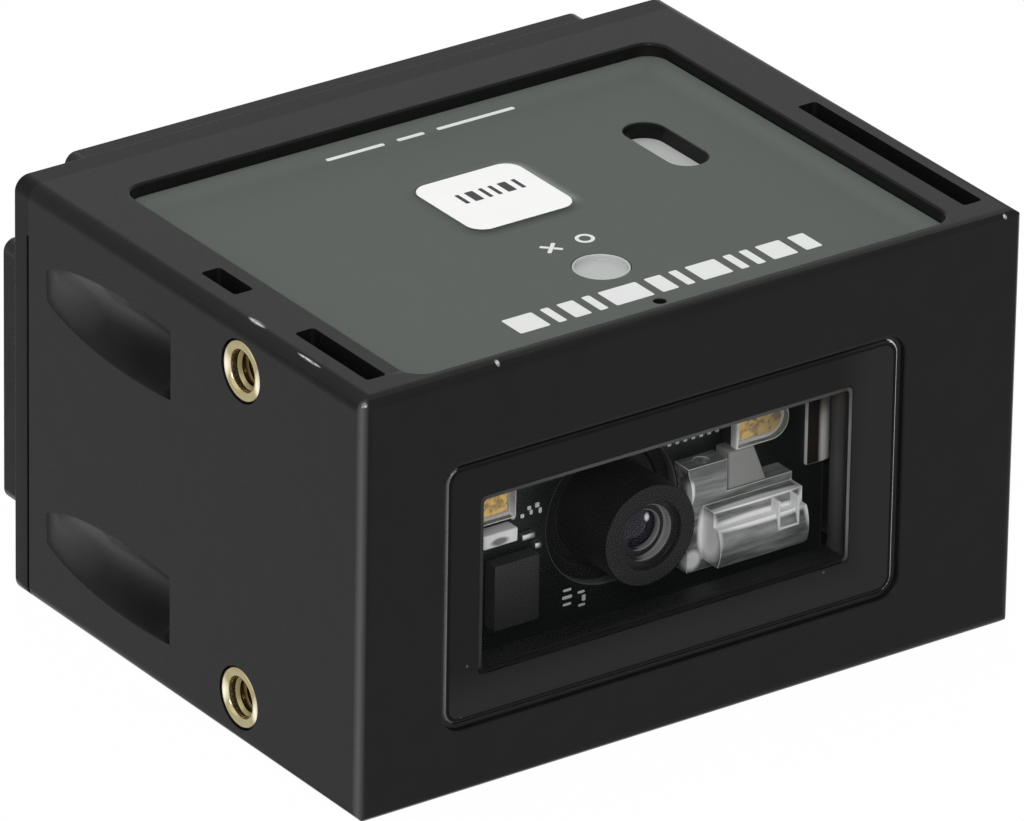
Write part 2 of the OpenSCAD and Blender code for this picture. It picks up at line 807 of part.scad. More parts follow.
module switch_plunger() {
    color("#20201f") seated() translate([key_x, key_u, 0])
        along_z(switch_top - plunger_sunk, plunger_top) circle(plunger_r);
}

module indicator_lens() {
    foot_z = inner_top - lamp_foot;
    color([0.85, 0.87, 0.86, 0.8]) seated() translate([lamp_x, lamp_u, 0]) difference() {
        union() {
            along_z(inner_top, label_top) circle(lamp_r);
            along_z(foot_z, inner_top) circle(lamp_r + lamp_foot);
            along_z(board_top + lamp_led_h + loose_gap, foot_z) circle(lamp_r - lamp_foot);
        }
        along_z(label_top - lamp_dish, label_top + over) circle(lamp_r - lamp_rim);
    }
}

module indicator_diode() {
    color("#e8e6da") seated() translate([lamp_x, lamp_u, 0])
        along_z(board_top, board_top + lamp_led_h) square(lamp_led_w, center = true);
}

module sound_membrane() {
    color("#a8aaa6") seated() translate([vent_x, vent_u, 0])
        along_z(inner_top, inner_top + membrane_t)
            oblong(vent_w + 2 * membrane_edge, vent_len + 2 * membrane_edge);
}

module sounder() {
    color("#19191a") seated() translate([vent_x, vent_u, board_top]) difference() {
        cylinder(r = sounder_r, h = sounder_h);
        translate([0, 0, sounder_h / 2]) cylinder(r = sounder_mouth, h = sounder_h);
    }
}

module interface_board() {
    half = inner_w / 2 - loose_gap;
    color("#1f4a33") seated() span([-half, board_front, board_bottom], [half, board_back, board_top]);
}

module cable_connector() {
    u1 = body_d - plug_back;
    color("#ece8dc") seated() difference() {
        span([-plug_w / 2, u1 - plug_d, board_bottom - plug_h], [plug_w / 2, u1, board_bottom]);
        span([plug_wall - plug_w / 2, u1 - plug_d + 2 * plug_wall, board_bottom - plug_h + plug_wall],
             [plug_w / 2 - plug_wall, u1 + over, board_bottom - plug_wall]);
    }
}

module link_connector() {
    reach = 3 * decoder_t;
    color("#26262a") seated()
        span([window_x - imager_left / 2, decoder_u, imager_top],
             [window_x + imager_left / 2, decoder_u + reach, board_bottom]);
}

module imager_carrier() {
    ear_end = inner_w / 2 - 2 * loose_gap;
    color("#242424") seated() difference() {
        union() {
            span([imager_x0, carrier_u, imager_bottom], [imager_x1, decoder_u, imager_top]);
            span([-ear_end, carrier_u, boss_z - boss_r - loose_gap],
                 [ear_end, carrier_u + carrier_t, boss_z + boss_r + loose_gap]);
        }
        span([imager_x0 + carrier_rim, carrier_u + carrier_t, imager_bottom + carrier_rim],
             [imager_x1 - carrier_rim, decoder_u + over, imager_top - carrier_rim]);
        at_imager_screws() translate([0, over, 0]) screw_hole(screw_r + loose_gap, carrier_t + 2 * over);
    }
}

module imager_screws() {
    color("#8d8f92") seated() at_imager_screws() pan_screw();
}

module imager_board() {
    color("#0f1f18") seated()
        span([imager_x0, imager_u, imager_bottom], [imager_x1, carrier_u, imager_top]);
}

module lens_holder() {
    color("#1c1c1c") seated() difference() {
        bar_y(lens_x, lens_z, holder_r, holder_u, imager_u);
        bar_y(lens_x, lens_z, holder_r - holder_wall, holder_u - over, imager_u + over);
    }
}

// Lens barrel: a narrow front part with a stepped mouth and a thread in the holder
module lens_barrel() {
    step = (aperture_u - barrel_u) / 3;
    mid_r = (mouth_r + aperture_r) / 2;
    color("#262626") seated() difference() {
        union() {
            bar_y(lens_x, lens_z, barrel_r, barrel_u, barrel_end);
            bar_y(lens_x, lens_z, thread_r, holder_u + loose_gap, barrel_end);
        }
        bar_y(lens_x, lens_z, mouth_r, barrel_u - over, barrel_u + step);
        bar_y(lens_x, lens_z, mid_r, barrel_u - over, barrel_u + 2 * step);
        bar_y(lens_x, lens_z, aperture_r, barrel_u - over, barrel_end);
        bar_y(lens_x, lens_z, glass_r, aperture_u, barrel_end + over);
    }
}

// Glass lens whose front face bulges inside the aperture
module front_lens() {
    color([0.5, 0.55, 0.65, 0.5]) seated() {
        bar_y(lens_x, lens_z, glass_r - close_gap, aperture_u, aperture_u + glass_t);
        translate([lens_x, aperture_u, lens_z]) rotate([90, 0, 0])
            lens_cap(aperture_r - close_gap, glass_bulge);
    }
}

// Spherical cap on a circle of radius r
module lens_cap(r, bulge) {
    ball = (r * r + bulge * bulge) / (2 * bulge);
    rotate_extrude() intersection() {
        translate([0, bulge - ball]) circle(ball);
        square([r, bulge]);
    }
}

module lens_spacer() {
    color("#1e1e1e") seated() difference() {
        bar_y(lens_x, lens_z, glass_r - close_gap, aperture_u + glass_t, barrel_end - retainer_t - glass_t);
        bar_y(lens_x, lens_z, aperture_r, aperture_u, barrel_end);
    }
}

module rear_lens() {
    color([0.5, 0.55, 0.65, 0.5]) seated()
        bar_y(lens_x, lens_z, glass_r - close_gap,
              barrel_end - retainer_t - glass_t, barrel_end - retainer_t);
}

module lens_retainer() {
    color("#2a2a2a") seated() difference() {
        bar_y(lens_x, lens_z, glass_r - close_gap, barrel_end - retainer_t, barrel_end);
        bar_y(lens_x, lens_z, aperture_r, barrel_end - retainer_t - over, barrel_end + over);
    }
}

module image_sensor() {
    color("#30343c") seated()
        span([lens_x - sensor_w / 2, imager_u - sensor_t, lens_z - sensor_h / 2],
             [lens_x + sensor_w / 2, imager_u, lens_z + sensor_h / 2]);
}

// Light board, which stands on the lens holder and leaves a round hole for the lens
module light_board() {
    color("#0f1f1c") seated() difference() {
        span([imager_x0, light_u, imager_bottom], [imager_x1, holder_u, imager_top]);
        bar_y(lens_x, lens_z, light_hole_r, light_u - over, holder_u + over);
        at_pegs() bar_y(0, 0, peg_r + close_gap, -over, light_board_t + over);
    }
}

// Repeats a piece at the aimer's two pegs, on the front of the light board
module at_pegs() {
    for (x = [aimer_x0 + 2 * peg_r, aimer_x1 - 2 * peg_r])
        translate([x, light_u, aimer_z0 + 2 * peg_r]) children();
}

// Front outline of the aimer block: a bulged nose below a ledge
module aimer_profile() {
    nose_h = aimer_h - aimer_step;
    nose_ball = (nose_h * nose_h / 4 + aimer_bulge * aimer_bulge) / (2 * aimer_bulge);
    intersection() {
        translate([nose_ball, nose_h / 2]) circle(nose_ball);
        square([aimer_nose, nose_h]);
    }
    translate([aimer_ledge, 0]) square([aimer_nose - aimer_ledge, aimer_h]);
}

// Clear aimer: a bulged nose on a frame that is cut round the lens, with two pegs in the light board
module aimer_lens() {
    ear_top = frame_z1 + aimer_ear;
    color([0.85, 0.87, 0.88, 0.5]) seated() difference() {
        union() {
            along_x(aimer_x0, aimer_x1) translate([aimer_u, aimer_z0]) aimer_profile();
            span([frame_x0, frame_u, frame_z0], [aimer_x1, light_u, frame_z1]);
            span([frame_x0, frame_u, frame_z1], [frame_x0 + aimer_ear_w, light_u, ear_top]);
            at_pegs() bar_y(0, 0, peg_r, 0, light_board_t);
        }
        bar_y(lens_x, lens_z, light_hole_r + loose_gap, barrel_u, light_u + over);
        along_z(ear_top - aimer_ear / 2, ear_top + over)
            translate([frame_x0 + aimer_ear_w / 2, (frame_u + light_u) / 2]) circle(aimer_hole_r);
    }
}

// Frosted diode that stands on the aimer under the right light, wider at its foot
module aimer_diode() {
    x0 = frame_x0 + aimer_ear_w + loose_gap;
    x1 = x0 + aimer_led_w;
    top = light_z - light_h / 2 - close_gap;
    color("#b9bab8") seated() along_y(frame_u, light_u)
        polygon([[x0, frame_z1], [x1 + aimer_led_spread, frame_z1], [x1, top], [x0, top]]);
}

// Repeats a piece at the two lights, on the front of the light board, mirrored on the left
module at_lights() {
    translate([lens_x + light_dx, light_u, light_z]) children();
    translate([lens_x - light_dx, light_u, light_z]) mirror([1, 0, 0]) children();
}

// Outline of a light: flat towards the lens and round at its outer end
module light_outline(grow) {
    w = light_w + 2 * grow;
    h = light_h + 2 * grow;
    translate([-w / 2, -h / 2]) square([w - h / 2, h]);
    translate([(w - h) / 2, 0]) circle(h / 2);
}

// Clear caps of the lights, each over its lead frame
module light_packages() {
    color([0.9, 0.88, 0.8, 0.4]) seated() at_lights() difference() {
        along_y(-light_len, -light_base_t) light_outline(0);
        along_y(light_skin - light_len, over - light_base_t) light_outline(-light_skin);
    }
}

module light_frames() {
    color("#c99a2e") seated() at_lights()
        along_y(light_skin + close_gap - light_len, -light_base_t) light_outline(-light_skin - close_gap);
}

module light_bases() {
    color("#1a1a1b") seated() at_lights() along_y(-light_base_t, 0) light_outline(-close_gap);
}

// Silver power coil on the left half of the light board
module board_coil() {
    x0 = lens_x - light_hole_r - coil_out;
    z0 = lens_z + coil_rise;
    color("#c4c6c6") seated() span([x0, light_u - coil_t, z0], [x0 + coil_w, light_u, z0 + coil_h]);
}

// Two small chip capacitors between the coil and the lens, the lower one half as wide
module board_chips() {
    x0 = lens_x - light_hole_r - chip_out;
    color("#cfcfc8") seated() for (row = [0, 1])
        translate([x0 + row * chip_w, light_u - chip_t, lens_z - row * (chip_h + chip_gap)])
            cube([chip_w / (1 + row), chip_t, chip_h]);
}

// Dark socket under the coil
module imager_connector() {
    x0 = lens_x - light_hole_r - socket_out;
    z1 = lens_z - socket_drop;
    z0 = z1 - socket_h;
    mid = light_u - socket_t / 2;
    color("#3b3b3d") seated() difference() {
        span([x0, light_u - socket_t, z0], [x0 + socket_w, light_u, z1]);
        span([x0 + socket_mouth, mid - socket_mouth / 2, z0 - over],
             [x0 + socket_w - socket_mouth, mid + socket_mouth / 2, (z0 + z1) / 2]);
    }
}

// Flex cable from the front of the light board, bent round both boards and the carrier to the decoder board
module flex_cable() {
    x0 = imager_x1 - flex_run;
    x1 = imager_x1 + 2 * loose_gap + flex_t;
    u0 = light_u - flex_t;
    bend_x = x1 - flex_bend;
    bend_u = u0 + flex_bend;
    z0 = lens_z - flex_drop;
    decoder_end = decoder_u + decoder_t;
    color("#8a5a32") seated() along_z(z0, z0 + flex_h) {
        translate([x0, u0]) square([bend_x - x0, flex_t]);
        translate([bend_x, bend_u]) difference() {
            circle(flex_bend);
            circle(flex_bend - flex_t);
            translate([-2 * flex_bend, 0]) square(4 * flex_bend);
            translate([-4 * flex_bend, -2 * flex_bend]) square(4 * flex_bend);
        }
        translate([x1 - flex_t, bend_u]) square([flex_t, decoder_end + flex_t - bend_u]);
        translate([x1 - flex_tail, decoder_end]) square([flex_tail, flex_t]);
    }
}

module decoder_board() {
    color("#17402c") seated()
        span([imager_x0, decoder_u, imager_bottom], [imager_x1, decoder_u + decoder_t, imager_top]);
}

// Square package on the back of the decoder board
module package(x, z, w, h) {
    span([x - w / 2, decoder_u + decoder_t, z - w / 2], [x + w / 2, decoder_u + decoder_t + h, z + w / 2]);
}

module processor() {
    color("#1b1b1d") seated() package(window_x, inner_mid - imager_gap, processor_w, processor_h);
}

module memory_chip() {
    memory_w = processor_w / 2;
    color("#202022") seated()
        package(window_x - processor_w, inner_mid - imager_gap, memory_w, processor_h);
}

front_housing();
rear_cover();
rear_seal();
rear_cover_screws();
cable_grommet();
threaded_inserts();
window_plate();
window_adhesive();
top_label();
scan_key();
push_switch();
switch_plunger();
indicator_lens();
indicator_diode();
sound_membrane();
sounder();
interface_board();
cable_connector();
link_connector();
imager_carrier();
imager_screws();
imager_board();
lens_holder();
lens_barrel();
front_lens();
lens_spacer();
rear_lens();
lens_retainer();
image_sensor();
aimer_lens();
aimer_diode();
light_packages();
light_frames();
board_coil();
board_chips();
imager_connector();
flex_cable();
decoder_board();
processor();
memory_chip();
light_board();
light_bases();
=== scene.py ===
"""Fixed barcode reader: finished pieces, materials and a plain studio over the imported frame."""

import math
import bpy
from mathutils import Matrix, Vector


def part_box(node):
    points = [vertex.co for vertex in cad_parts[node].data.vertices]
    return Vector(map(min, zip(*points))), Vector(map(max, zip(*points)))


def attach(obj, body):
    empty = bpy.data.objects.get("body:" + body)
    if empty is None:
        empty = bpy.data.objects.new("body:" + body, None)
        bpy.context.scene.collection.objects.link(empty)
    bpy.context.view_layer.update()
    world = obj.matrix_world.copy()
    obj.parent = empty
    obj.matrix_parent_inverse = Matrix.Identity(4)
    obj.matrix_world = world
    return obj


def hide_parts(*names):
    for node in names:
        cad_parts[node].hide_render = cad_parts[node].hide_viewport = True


bl_info = {
    "name": "Fixed Barcode Reader",
    "version": (1, 0, 0),
    "blender": (4, 5, 0),
    "location": "3D View > Sidebar > Reader",
    "description": "Finishes the packed barcode reader with detailed pieces, materials and a studio",
    "category": "Object",
}

import bmesh
import bpy
from bpy.props import FloatProperty, FloatVectorProperty, PointerProperty
from mathutils import Matrix, Vector

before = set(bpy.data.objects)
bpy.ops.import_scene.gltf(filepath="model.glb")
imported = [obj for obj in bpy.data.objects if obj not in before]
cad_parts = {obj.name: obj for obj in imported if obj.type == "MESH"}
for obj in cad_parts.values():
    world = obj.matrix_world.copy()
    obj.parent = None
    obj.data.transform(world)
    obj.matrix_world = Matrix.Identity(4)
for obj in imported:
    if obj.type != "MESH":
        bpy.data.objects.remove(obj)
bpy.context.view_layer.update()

MM = 0.001
MERGE = 0.0000005
ON_PLANE = 0.01 * MM
FLAT_ANGLE = math.radians(0.4)
CORNER_ANGLE = math.radians(40)
SHADE_ANGLE = math.radians(38)
UP = Vector((0.0, 0.0, 1.0))
ACROSS = Vector((1.0, 0.0, 0.0))
FRONT_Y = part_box("front_housing")[0].y

# Reach of the side scoops behind the front face
SCOOP_FROM = 20.2 * MM
SCOOP_TO = 35.5 * MM


# Settings that a user would change

def length_setting(name, description, size):
    """A setting for a length, whose default is given in millimetres."""
    return FloatProperty(name=name, description=description, default=size * MM, unit="LENGTH")


def angle_setting(name, description, degrees):
    """A setting for an angle."""
    return FloatProperty(name=name, description=description, default=math.radians(degrees), subtype="ANGLE")


def plain_setting(name, description, value):
    """A setting for a strength, a power or a focal length."""
    return FloatProperty(name=name, description=description, default=value)


def colour_setting(name, description, colour):
    """A setting for a colour."""
    return FloatVectorProperty(
        name=name, description=description, default=colour, subtype="COLOR", min=0, max=1)


class ReaderShapes(bpy.types.PropertyGroup):
    """Sizes of the finish on the reader's pieces."""

    edge_soften: length_setting("Moulded edge", "Rounding of the moulded edges", 0.12)
    window_soften: length_setting("Window edge", "Rounding of the edges round the window plate", 0.12)
    field_soften: length_setting("Label field edge", "Rounding of the edges round the label field", 0.42)
    key_round: length_setting("Key edge", "Rounding of the upper edge of the key cap", 0.07)
    ink_height: length_setting("Ink height", "Height of the printed marks", 0.012)
    thread_pitch: length_setting("Thread pitch", "Pitch of the thread in the inserts", 0.5)
    thread_depth: length_setting("Thread depth", "Depth of the thread in the inserts", 0.22)
    clear_width: length_setting("Clear width", "Width of the clear part of the window plate", 27.6)
    clear_height: length_setting("Clear height", "Height of the clear part of the window plate", 11.9)


class ReaderColours(bpy.types.PropertyGroup):
    """Colours of the reader's finishes."""

    housing: colour_setting("Housing", "Moulded black plastic of the housing", (0.0074, 0.0074, 0.0076))
    label: colour_setting("Label", "Grey film of the label", (0.0745, 0.085, 0.0765))
    key: colour_setting("Key", "White plastic of the key cap", (0.97, 0.97, 0.96))
    ink_white: colour_setting("White ink", "White print on the label", (0.8, 0.81, 0.8))
    ink_dark: colour_setting("Dark ink", "Dark print on the key cap", (0.03, 0.03, 0.035))
    lamp: colour_setting("Lamp", "Frosted plastic of the indicator", (0.47, 0.483, 0.475))
    membrane: colour_setting("Membrane", "Grey membrane under the sound slot", (0.54, 0.55, 0.54))
    brass: colour_setting("Brass", "Brass of the threaded inserts", (0.84, 0.72, 0.4))
    gold: colour_setting("Gold", "Gold of the lead frames in the lights", (0.8, 0.4, 0.04))
    silver: colour_setting("Silver", "Bright metal of the small board parts", (0.78, 0.79, 0.79))
    board: colour_setting("Board", "Dark solder mask of the boards", (0.003, 0.006, 0.005))


class ReaderStudio(bpy.types.PropertyGroup):
    """Camera and lights."""

    azimuth: angle_setting("Azimuth", "Turn of the camera about the vertical, from the front", -35.568)
    elevation: angle_setting("Elevation", "Height of the camera above the horizon", 26.124)
    roll: angle_setting("Roll", "Turn of the camera about its own axis", 0.955)
    distance: length_setting("Distance", "Distance of the camera from its target", 799.216)
    focal: plain_setting("Focal length", "Focal length of the camera in millimetres", 456.46)
    target: FloatVectorProperty(
        name="Target", description="Point that the camera is set up around",
        default=(0.0, 0.1 * MM, 15 * MM), subtype="XYZ")
    pan_right: length_setting("Pan right", "Sideways step of the camera", 0.45345)
    pan_up: length_setting("Pan up", "Upward step of the camera", -1.72514)
    ambient: plain_setting("Ambient", "Strength of the even light from all sides", 0.5)
    overhead: plain_setting("Overhead lamp", "Power of the large lamp overhead, in watts", 1.45)
    side: plain_setting("Side lamp", "Power of the lamp at the left, in watts", 0.5)
    front: plain_setting("Front lamp", "Power of the small lamp near the camera, in watts", 1.9)


def shapes():
    """The sizes on the scene."""
    return bpy.context.scene.reader_shapes


def colour_of(name):
    """A colour from the settings on the scene."""
    return tuple(getattr(bpy.context.scene.reader_colours, name))


# Materials

PLASTIC_CLOUD = 2.2 * MM
PLASTIC_RELIEF = 0.012 * MM
METAL_RELIEF = 0.006 * MM
EVEN = (1.0, 1.0, 1.0)

# Depths of the prints behind the front face, in millimetres
PRINT_BEHIND = 0.285
BORDER_BEHIND = 0.7


def rgba(colour):
    """A colour with full opacity."""
    return (colour[0], colour[1], colour[2], 1.0)


def grey(level):
    """A colour without a tint."""
    return (level, level, level)


def shade(colour, factor):
    """A lighter or darker tone of a colour."""
    return tuple(min(1.0, value * factor) for value in colour)


def shader_socket(material, name):
    """An input of the Principled shader."""
    return material.node_tree.nodes["Principled BSDF"].inputs[name]


def set_sockets(material, **sockets):
    """Sets inputs of the Principled shader directly."""
    for key, value in sockets.items():
        shader_socket(material, key.replace("_", " ")).default_value = value


def start_material(name, **sockets):
    """A new material whose Principled inputs are set directly."""
    material = bpy.data.materials.new(name)
    material.use_nodes = True
    set_sockets(material, **sockets)
    return material


def add_node(owner, kind, **settings):
    """A new node of a material or of the world, with its settings."""
    node = owner.node_tree.nodes.new(kind)
    for key, value in settings.items():
        setattr(node, key, value)
    return node


def join(owner, source, target):
    """A link between two sockets."""
    owner.node_tree.links.new(source, target)


def feed(material, name, value):
    """Takes a value to an input of the Principled shader."""
    join(material, value, shader_socket(material, name))


def object_point(material):
    """The point in the frame of the part."""
    found = material.node_tree.nodes.get("Part point")
    if found is None:
        found = add_node(material, "ShaderNodeTexCoord", name="Part point")
    return found.outputs["Object"]


def mapped_point(material, kind="POINT", **sockets):
    """The point in the frame of the part, moved, turned or stretched."""
    mapping = add_node(material, "ShaderNodeMapping", vector_type=kind)
    for key, value in sockets.items():
        mapping.inputs[key].default_value = value
    join(material, object_point(material), mapping.inputs["Vector"])
    return mapping.outputs["Vector"]


def axis_value(material, axis):
    """One coordinate of the point in the frame of the part."""
    parts = add_node(material, "ShaderNodeSeparateXYZ")
    join(material, object_point(material), parts.inputs["Vector"])
    return parts.outputs[axis]


def grain(material, size, detail, stretch=EVEN):
    """Noise whose grains have about the given size."""
    noise = add_node(material, "ShaderNodeTexNoise")
    noise.inputs["Scale"].default_value = 1.0 / size
    noise.inputs["Detail"].default_value = detail
    point = object_point(material) if stretch == EVEN else mapped_point(material, Scale=stretch)
    join(material, point, noise.inputs["Vector"])
    return noise.outputs["Fac"]


def spread(material, value, low, high, start=0.3, end=0.7):
    """A value taken from one range to another."""
    node = add_node(material, "ShaderNodeMapRange")
    limits = {"From Min": start, "From Max": end, "To Min": low, "To Max": high}
    for key, limit in limits.items():
        node.inputs[key].default_value = limit
    join(material, value, node.inputs["Value"])
    return node.outputs["Result"]


def blend(material, factor, first, second):
    """A colour between two colours or sockets."""
    node = add_node(material, "ShaderNodeMix", data_type="RGBA")
    join(material, factor, node.inputs["Factor"])
    for socket, colour in ((node.inputs[6], first), (node.inputs[7], second)):
        if isinstance(colour, tuple):
            socket.default_value = rgba(colour)
        else:
            join(material, colour, socket)
    return node.outputs[2]


def combine(owner, operation, first, second):
    """Two values joined by a sum, product or limit."""
    node = add_node(owner, "ShaderNodeMath", operation=operation)
    for socket, value in ((node.inputs[0], first), (node.inputs[1], second)):
        if isinstance(value, float):
            socket.default_value = value
        else:
            join(owner, value, socket)
    return node.outputs["Value"]


def add_bump(material, height, strength, distance):
    """A bump from a height."""
    node = add_node(material, "ShaderNodeBump")
    node.inputs["Strength"].default_value = strength
    node.inputs["Distance"].default_value = distance
    join(material, height, node.inputs["Height"])
    feed(material, "Normal", node.outputs["Normal"])


def near(material, middle, half, core=0.4):
    """A mask that is 1 in the core of an oval spot and fades to 0 at its edge.

    The middle and the half lengths are in millimetres: across, behind the front face, above the floor.
    """
    across, behind, above = middle
    place = (across * MM, FRONT_Y + behind * MM, above * MM)
    point = mapped_point(material, "TEXTURE", Location=place, Scale=[value * MM for value in half])
    length = add_node(material, "ShaderNodeVectorMath", operation="LENGTH")
    join(material, point, length.inputs[0])
    return spread(material, length.outputs["Value"], 1.0, 0.0, core, 1.0)


def widest(material, masks):
    """Several masks joined into one."""
    joined = masks[0]
    for mask in masks[1:]:
        joined = combine(material, "MAXIMUM", joined, mask)
    return joined


def near_any(material, spots, core=0.4):
    """The masks of several oval spots joined into one."""
    return widest(material, [near(material, middle, half, core) for middle, half in spots])


def front_middle(node):
    """The middle of a node's front in millimetres: across, behind the front face, above the floor."""
    low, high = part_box(node)
    return (low.x + high.x) / 2 / MM, (low.y - FRONT_Y) / MM, (low.z + high.z) / 2 / MM


def grained_plastic(name, colour, gloss, roughness, fine=0.09 * MM, mottling=0.25, bump=0.25):
    """Moulded plastic with a fine grain and a faint mottling, and the socket of its colour."""
    material = start_material(name, Specular_IOR_Level=gloss)
    cloud = grain(material, PLASTIC_CLOUD, 4.0)
    tone = blend(material, cloud, shade(colour, 1.0 - mottling), shade(colour, 1.0 + mottling))
    feed(material, "Base Color", tone)
    speckle = grain(material, fine, 2.0)
    feed(material, "Roughness", spread(material, speckle, roughness - 0.06, roughness + 0.06))
    add_bump(material, speckle, bump, PLASTIC_RELIEF)
    return material, tone


# Rubbed places with painted glints, painted sheen, painted light in the scoops, and dull places on the
# moulded housing: middle and half lengths in millimetres
# White rubbed wear along the top left edge and the front top edge, with painted white glints at the top of
# the near upright edge and in the upper scoop
WEAR_AND_GLINT_WHITE = (
    ((-23.6, 12.45, 28.3), (0.2, 1.0, 0.4)),
    ((-23.85, 6.6, 28.25), (0.1, 1.4, 0.3)),
    ((-24.5, 24.5, 21.4), (0.25, 0.25, 0.25)),
    ((-14.6, 0.3, 28.3), (0.16, 0.3, 0.3)),
    ((23.1, 0.2, 28.1), (0.14, 0.3, 0.2)),
    ((-24.3, 0.25, 28.05), (0.25, 0.25, 0.2)),
)
# Painted grey sheen along the near upright edge and on the right wall of the opening behind the window
# plate
PAINTED_SHEEN_GREY = (
    ((-24.36, 0.35, 14.2), (0.44, 0.44, 200.0)),
    ((12.42, 2.3, 13.4), (0.3, 1.1, 14.0)),
)
# Painted light at the rear and in the upper part of the two scoops
SCOOP_PAINTED_LIGHT = (
    ((-24.3, 32.8, 22.7), (2.5, 4.6, 2.8)),
    ((-24.3, 32.8, 6.1), (2.5, 4.6, 2.8)),
    ((-24.3, 26.5, 24.7), (2.5, 9.0, 2.6)),
    ((-24.3, 26.5, 8.1), (2.5, 9.0, 2.6)),
)
DULL = (
    ((-23.6, 22.5, 21.2), (2.5, 7.5, 2.6)),
    ((-23.6, 22.5, 4.1), (2.5, 7.5, 2.2)),
)

# Places on the label and on the window print made paler by painted light, and specks of dust on that print
# Painted light on the label near its right and rear walls
LABEL_PAINTED_LIGHT = (
    ((20.2, 17.0, 27.5), (2.6, 90.0, 9.0)),
    ((0.0, 32.6, 27.5), (90.0, 2.6, 9.0)),
)
# Painted light on the window print at its right and bottom
PRINT_PAINTED_LIGHT = (
    ((14.2, PRINT_BEHIND, 13.4), (3.4, 3.0, 30.0)),
    ((0.0, PRINT_BEHIND, 5.4), (60.0, 3.0, 3.0)),
)
PRINT_DUST = (
    ((-16.5, PRINT_BEHIND, 8.5), (0.11, 0.11, 0.11)),
    ((-16.9, PRINT_BEHIND, 5.1), (0.11, 0.11, 0.11)),
    ((10.1, PRINT_BEHIND, 7.4), (0.11, 0.11, 0.11)),
)


def moulded_black():
    """Moulded black plastic, rubbed white in spots with painted white glints among them, a painted grey
    sheen along the near edge and on the window opening's right wall, painted light in the scoops, and dull
    in the scoops.
    """
    gloss, dull_gloss = 0.105, 0.03
    material, tone = grained_plastic(
        "moulded_black", colour_of("housing"), gloss=gloss, roughness=0.3, bump=0.1)
    scratch = grain(material, 0.35 * MM, 3.0, (3.0, 0.45, 3.0))
    broken = spread(material, scratch, 0.2, 1.0, 0.42, 0.55)
    # White rubbed wear and painted white glints, broken up by the scratch noise
    white = combine(material, "MULTIPLY", near_any(material, WEAR_AND_GLINT_WHITE, 0.55), broken)
    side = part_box("front_housing")[0].x
    sunk = spread(material, axis_value(material, "X"), 0.0, 1.0, side + 0.01 * MM, side + 0.12 * MM)
    # Painted light in the scoops, kept to the sunk faces
    scoop_light = combine(material, "MULTIPLY", near_any(material, SCOOP_PAINTED_LIGHT, 0.1), sunk)
    dull = combine(material, "MULTIPLY", near_any(material, DULL, 0.3), sunk)
    feed(material, "Specular IOR Level", spread(material, dull, gloss, dull_gloss, 0.0, 1.0))
    # Painted light in the scoops, then a painted grey sheen on the near upright edge and on the window
    # opening's right wall
    tone = blend(material, scoop_light, tone, grey(0.04))
    tone = blend(material, near_any(material, PAINTED_SHEEN_GREY, 0.08), tone, grey(0.085))
    feed(material, "Base Color", blend(material, white, tone, grey(0.6)))
    return material


def cover_black():
    """Black plastic of the rear cover, a little darker than the housing."""
    return grained_plastic("cover_black", shade(colour_of("housing"), 0.6), gloss=0.085, roughness=0.3)[0]


def soft_rubber():
    """Matt rubber of the seal and the grommet."""
    return grained_plastic("soft_rubber", grey(0.012), gloss=0.15, roughness=0.68, fine=0.15 * MM)[0]


def label_film(name):
    """Grey label film with a fine matt grain, and the socket of its colour."""
    return grained_plastic(
        name, colour_of("label"), gloss=0.2, roughness=0.5, fine=0.06 * MM, mottling=0.035, bump=0.12)


def label_grey():
    """Flat label film, made paler by painted light along its right and rear edges, and dark where it is
    cut.
    """
    material, tone = label_film("label_grey")
    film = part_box("top_label")[1].z
    cut = spread(material, axis_value(material, "Z"), 1.0, 0.0, film - 0.1 * MM, film - 0.05 * MM)
    # Painted light along the right and rear edges of the label
    tone = blend(material, near_any(material, LABEL_PAINTED_LIGHT, 0.0), tone, shade(colour_of("label"), 1.75))
    feed(material, "Base Color", blend(material, cut, tone, shade(colour_of("label"), 0.1)))
    return material


def label_bent():
    """Label film bent up round the key, with painted shade: darker towards the front, lighter at the right.
    """
    material, tone = label_film("label_bent")
    bend = add_node(material, "ShaderNodeAttribute", attribute_name="film_bend").outputs["Fac"]
    # Painted shade from the collar layer: darker below zero, lighter above
    darker = spread(material, bend, 1.0, 0.0, -1.0, 0.0)
    lighter = spread(material, bend, 0.0, 1.0, 0.0, 1.0)
    tone = blend(material, darker, tone, shade(colour_of("label"), 0.35))
    feed(material, "Base Color", blend(material, lighter, tone, shade(colour_of("label"), 2.6)))
    return material


def key_plastic():
    """White plastic of the key cap."""
    return grained_plastic(
        "key_plastic", colour_of("key"), gloss=0.4, roughness=0.42,
        fine=0.08 * MM, mottling=0.025, bump=0.08)[0]


def ink(name):
    """Screen print with a slightly uneven cover."""
    return grained_plastic(
        name, colour_of(name), gloss=0.25, roughness=0.5, fine=0.05 * MM, mottling=0.05, bump=0.1)[0]


def ink_white():
    """White screen print."""
    return ink("ink_white")


def ink_dark():
    """Dark screen print."""
    return ink("ink_dark")


def ink_black():
    """Black print on the border of the window plate, with painted light at its right and bottom and a few
    specks of dust.
    """
    material, tone = grained_plastic(
        "ink_black", (0.0055, 0.0055, 0.0057), gloss=0.1, roughness=0.22,
        fine=0.05 * MM, mottling=0.1, bump=0.03)
    # Painted light at the right and bottom of the print
    tone = blend(material, near_any(material, PRINT_PAINTED_LIGHT, 0.3), tone, grey(0.015))
    feed(material, "Base Color", blend(material, near_any(material, PRINT_DUST), tone, grey(0.1)))
    return material


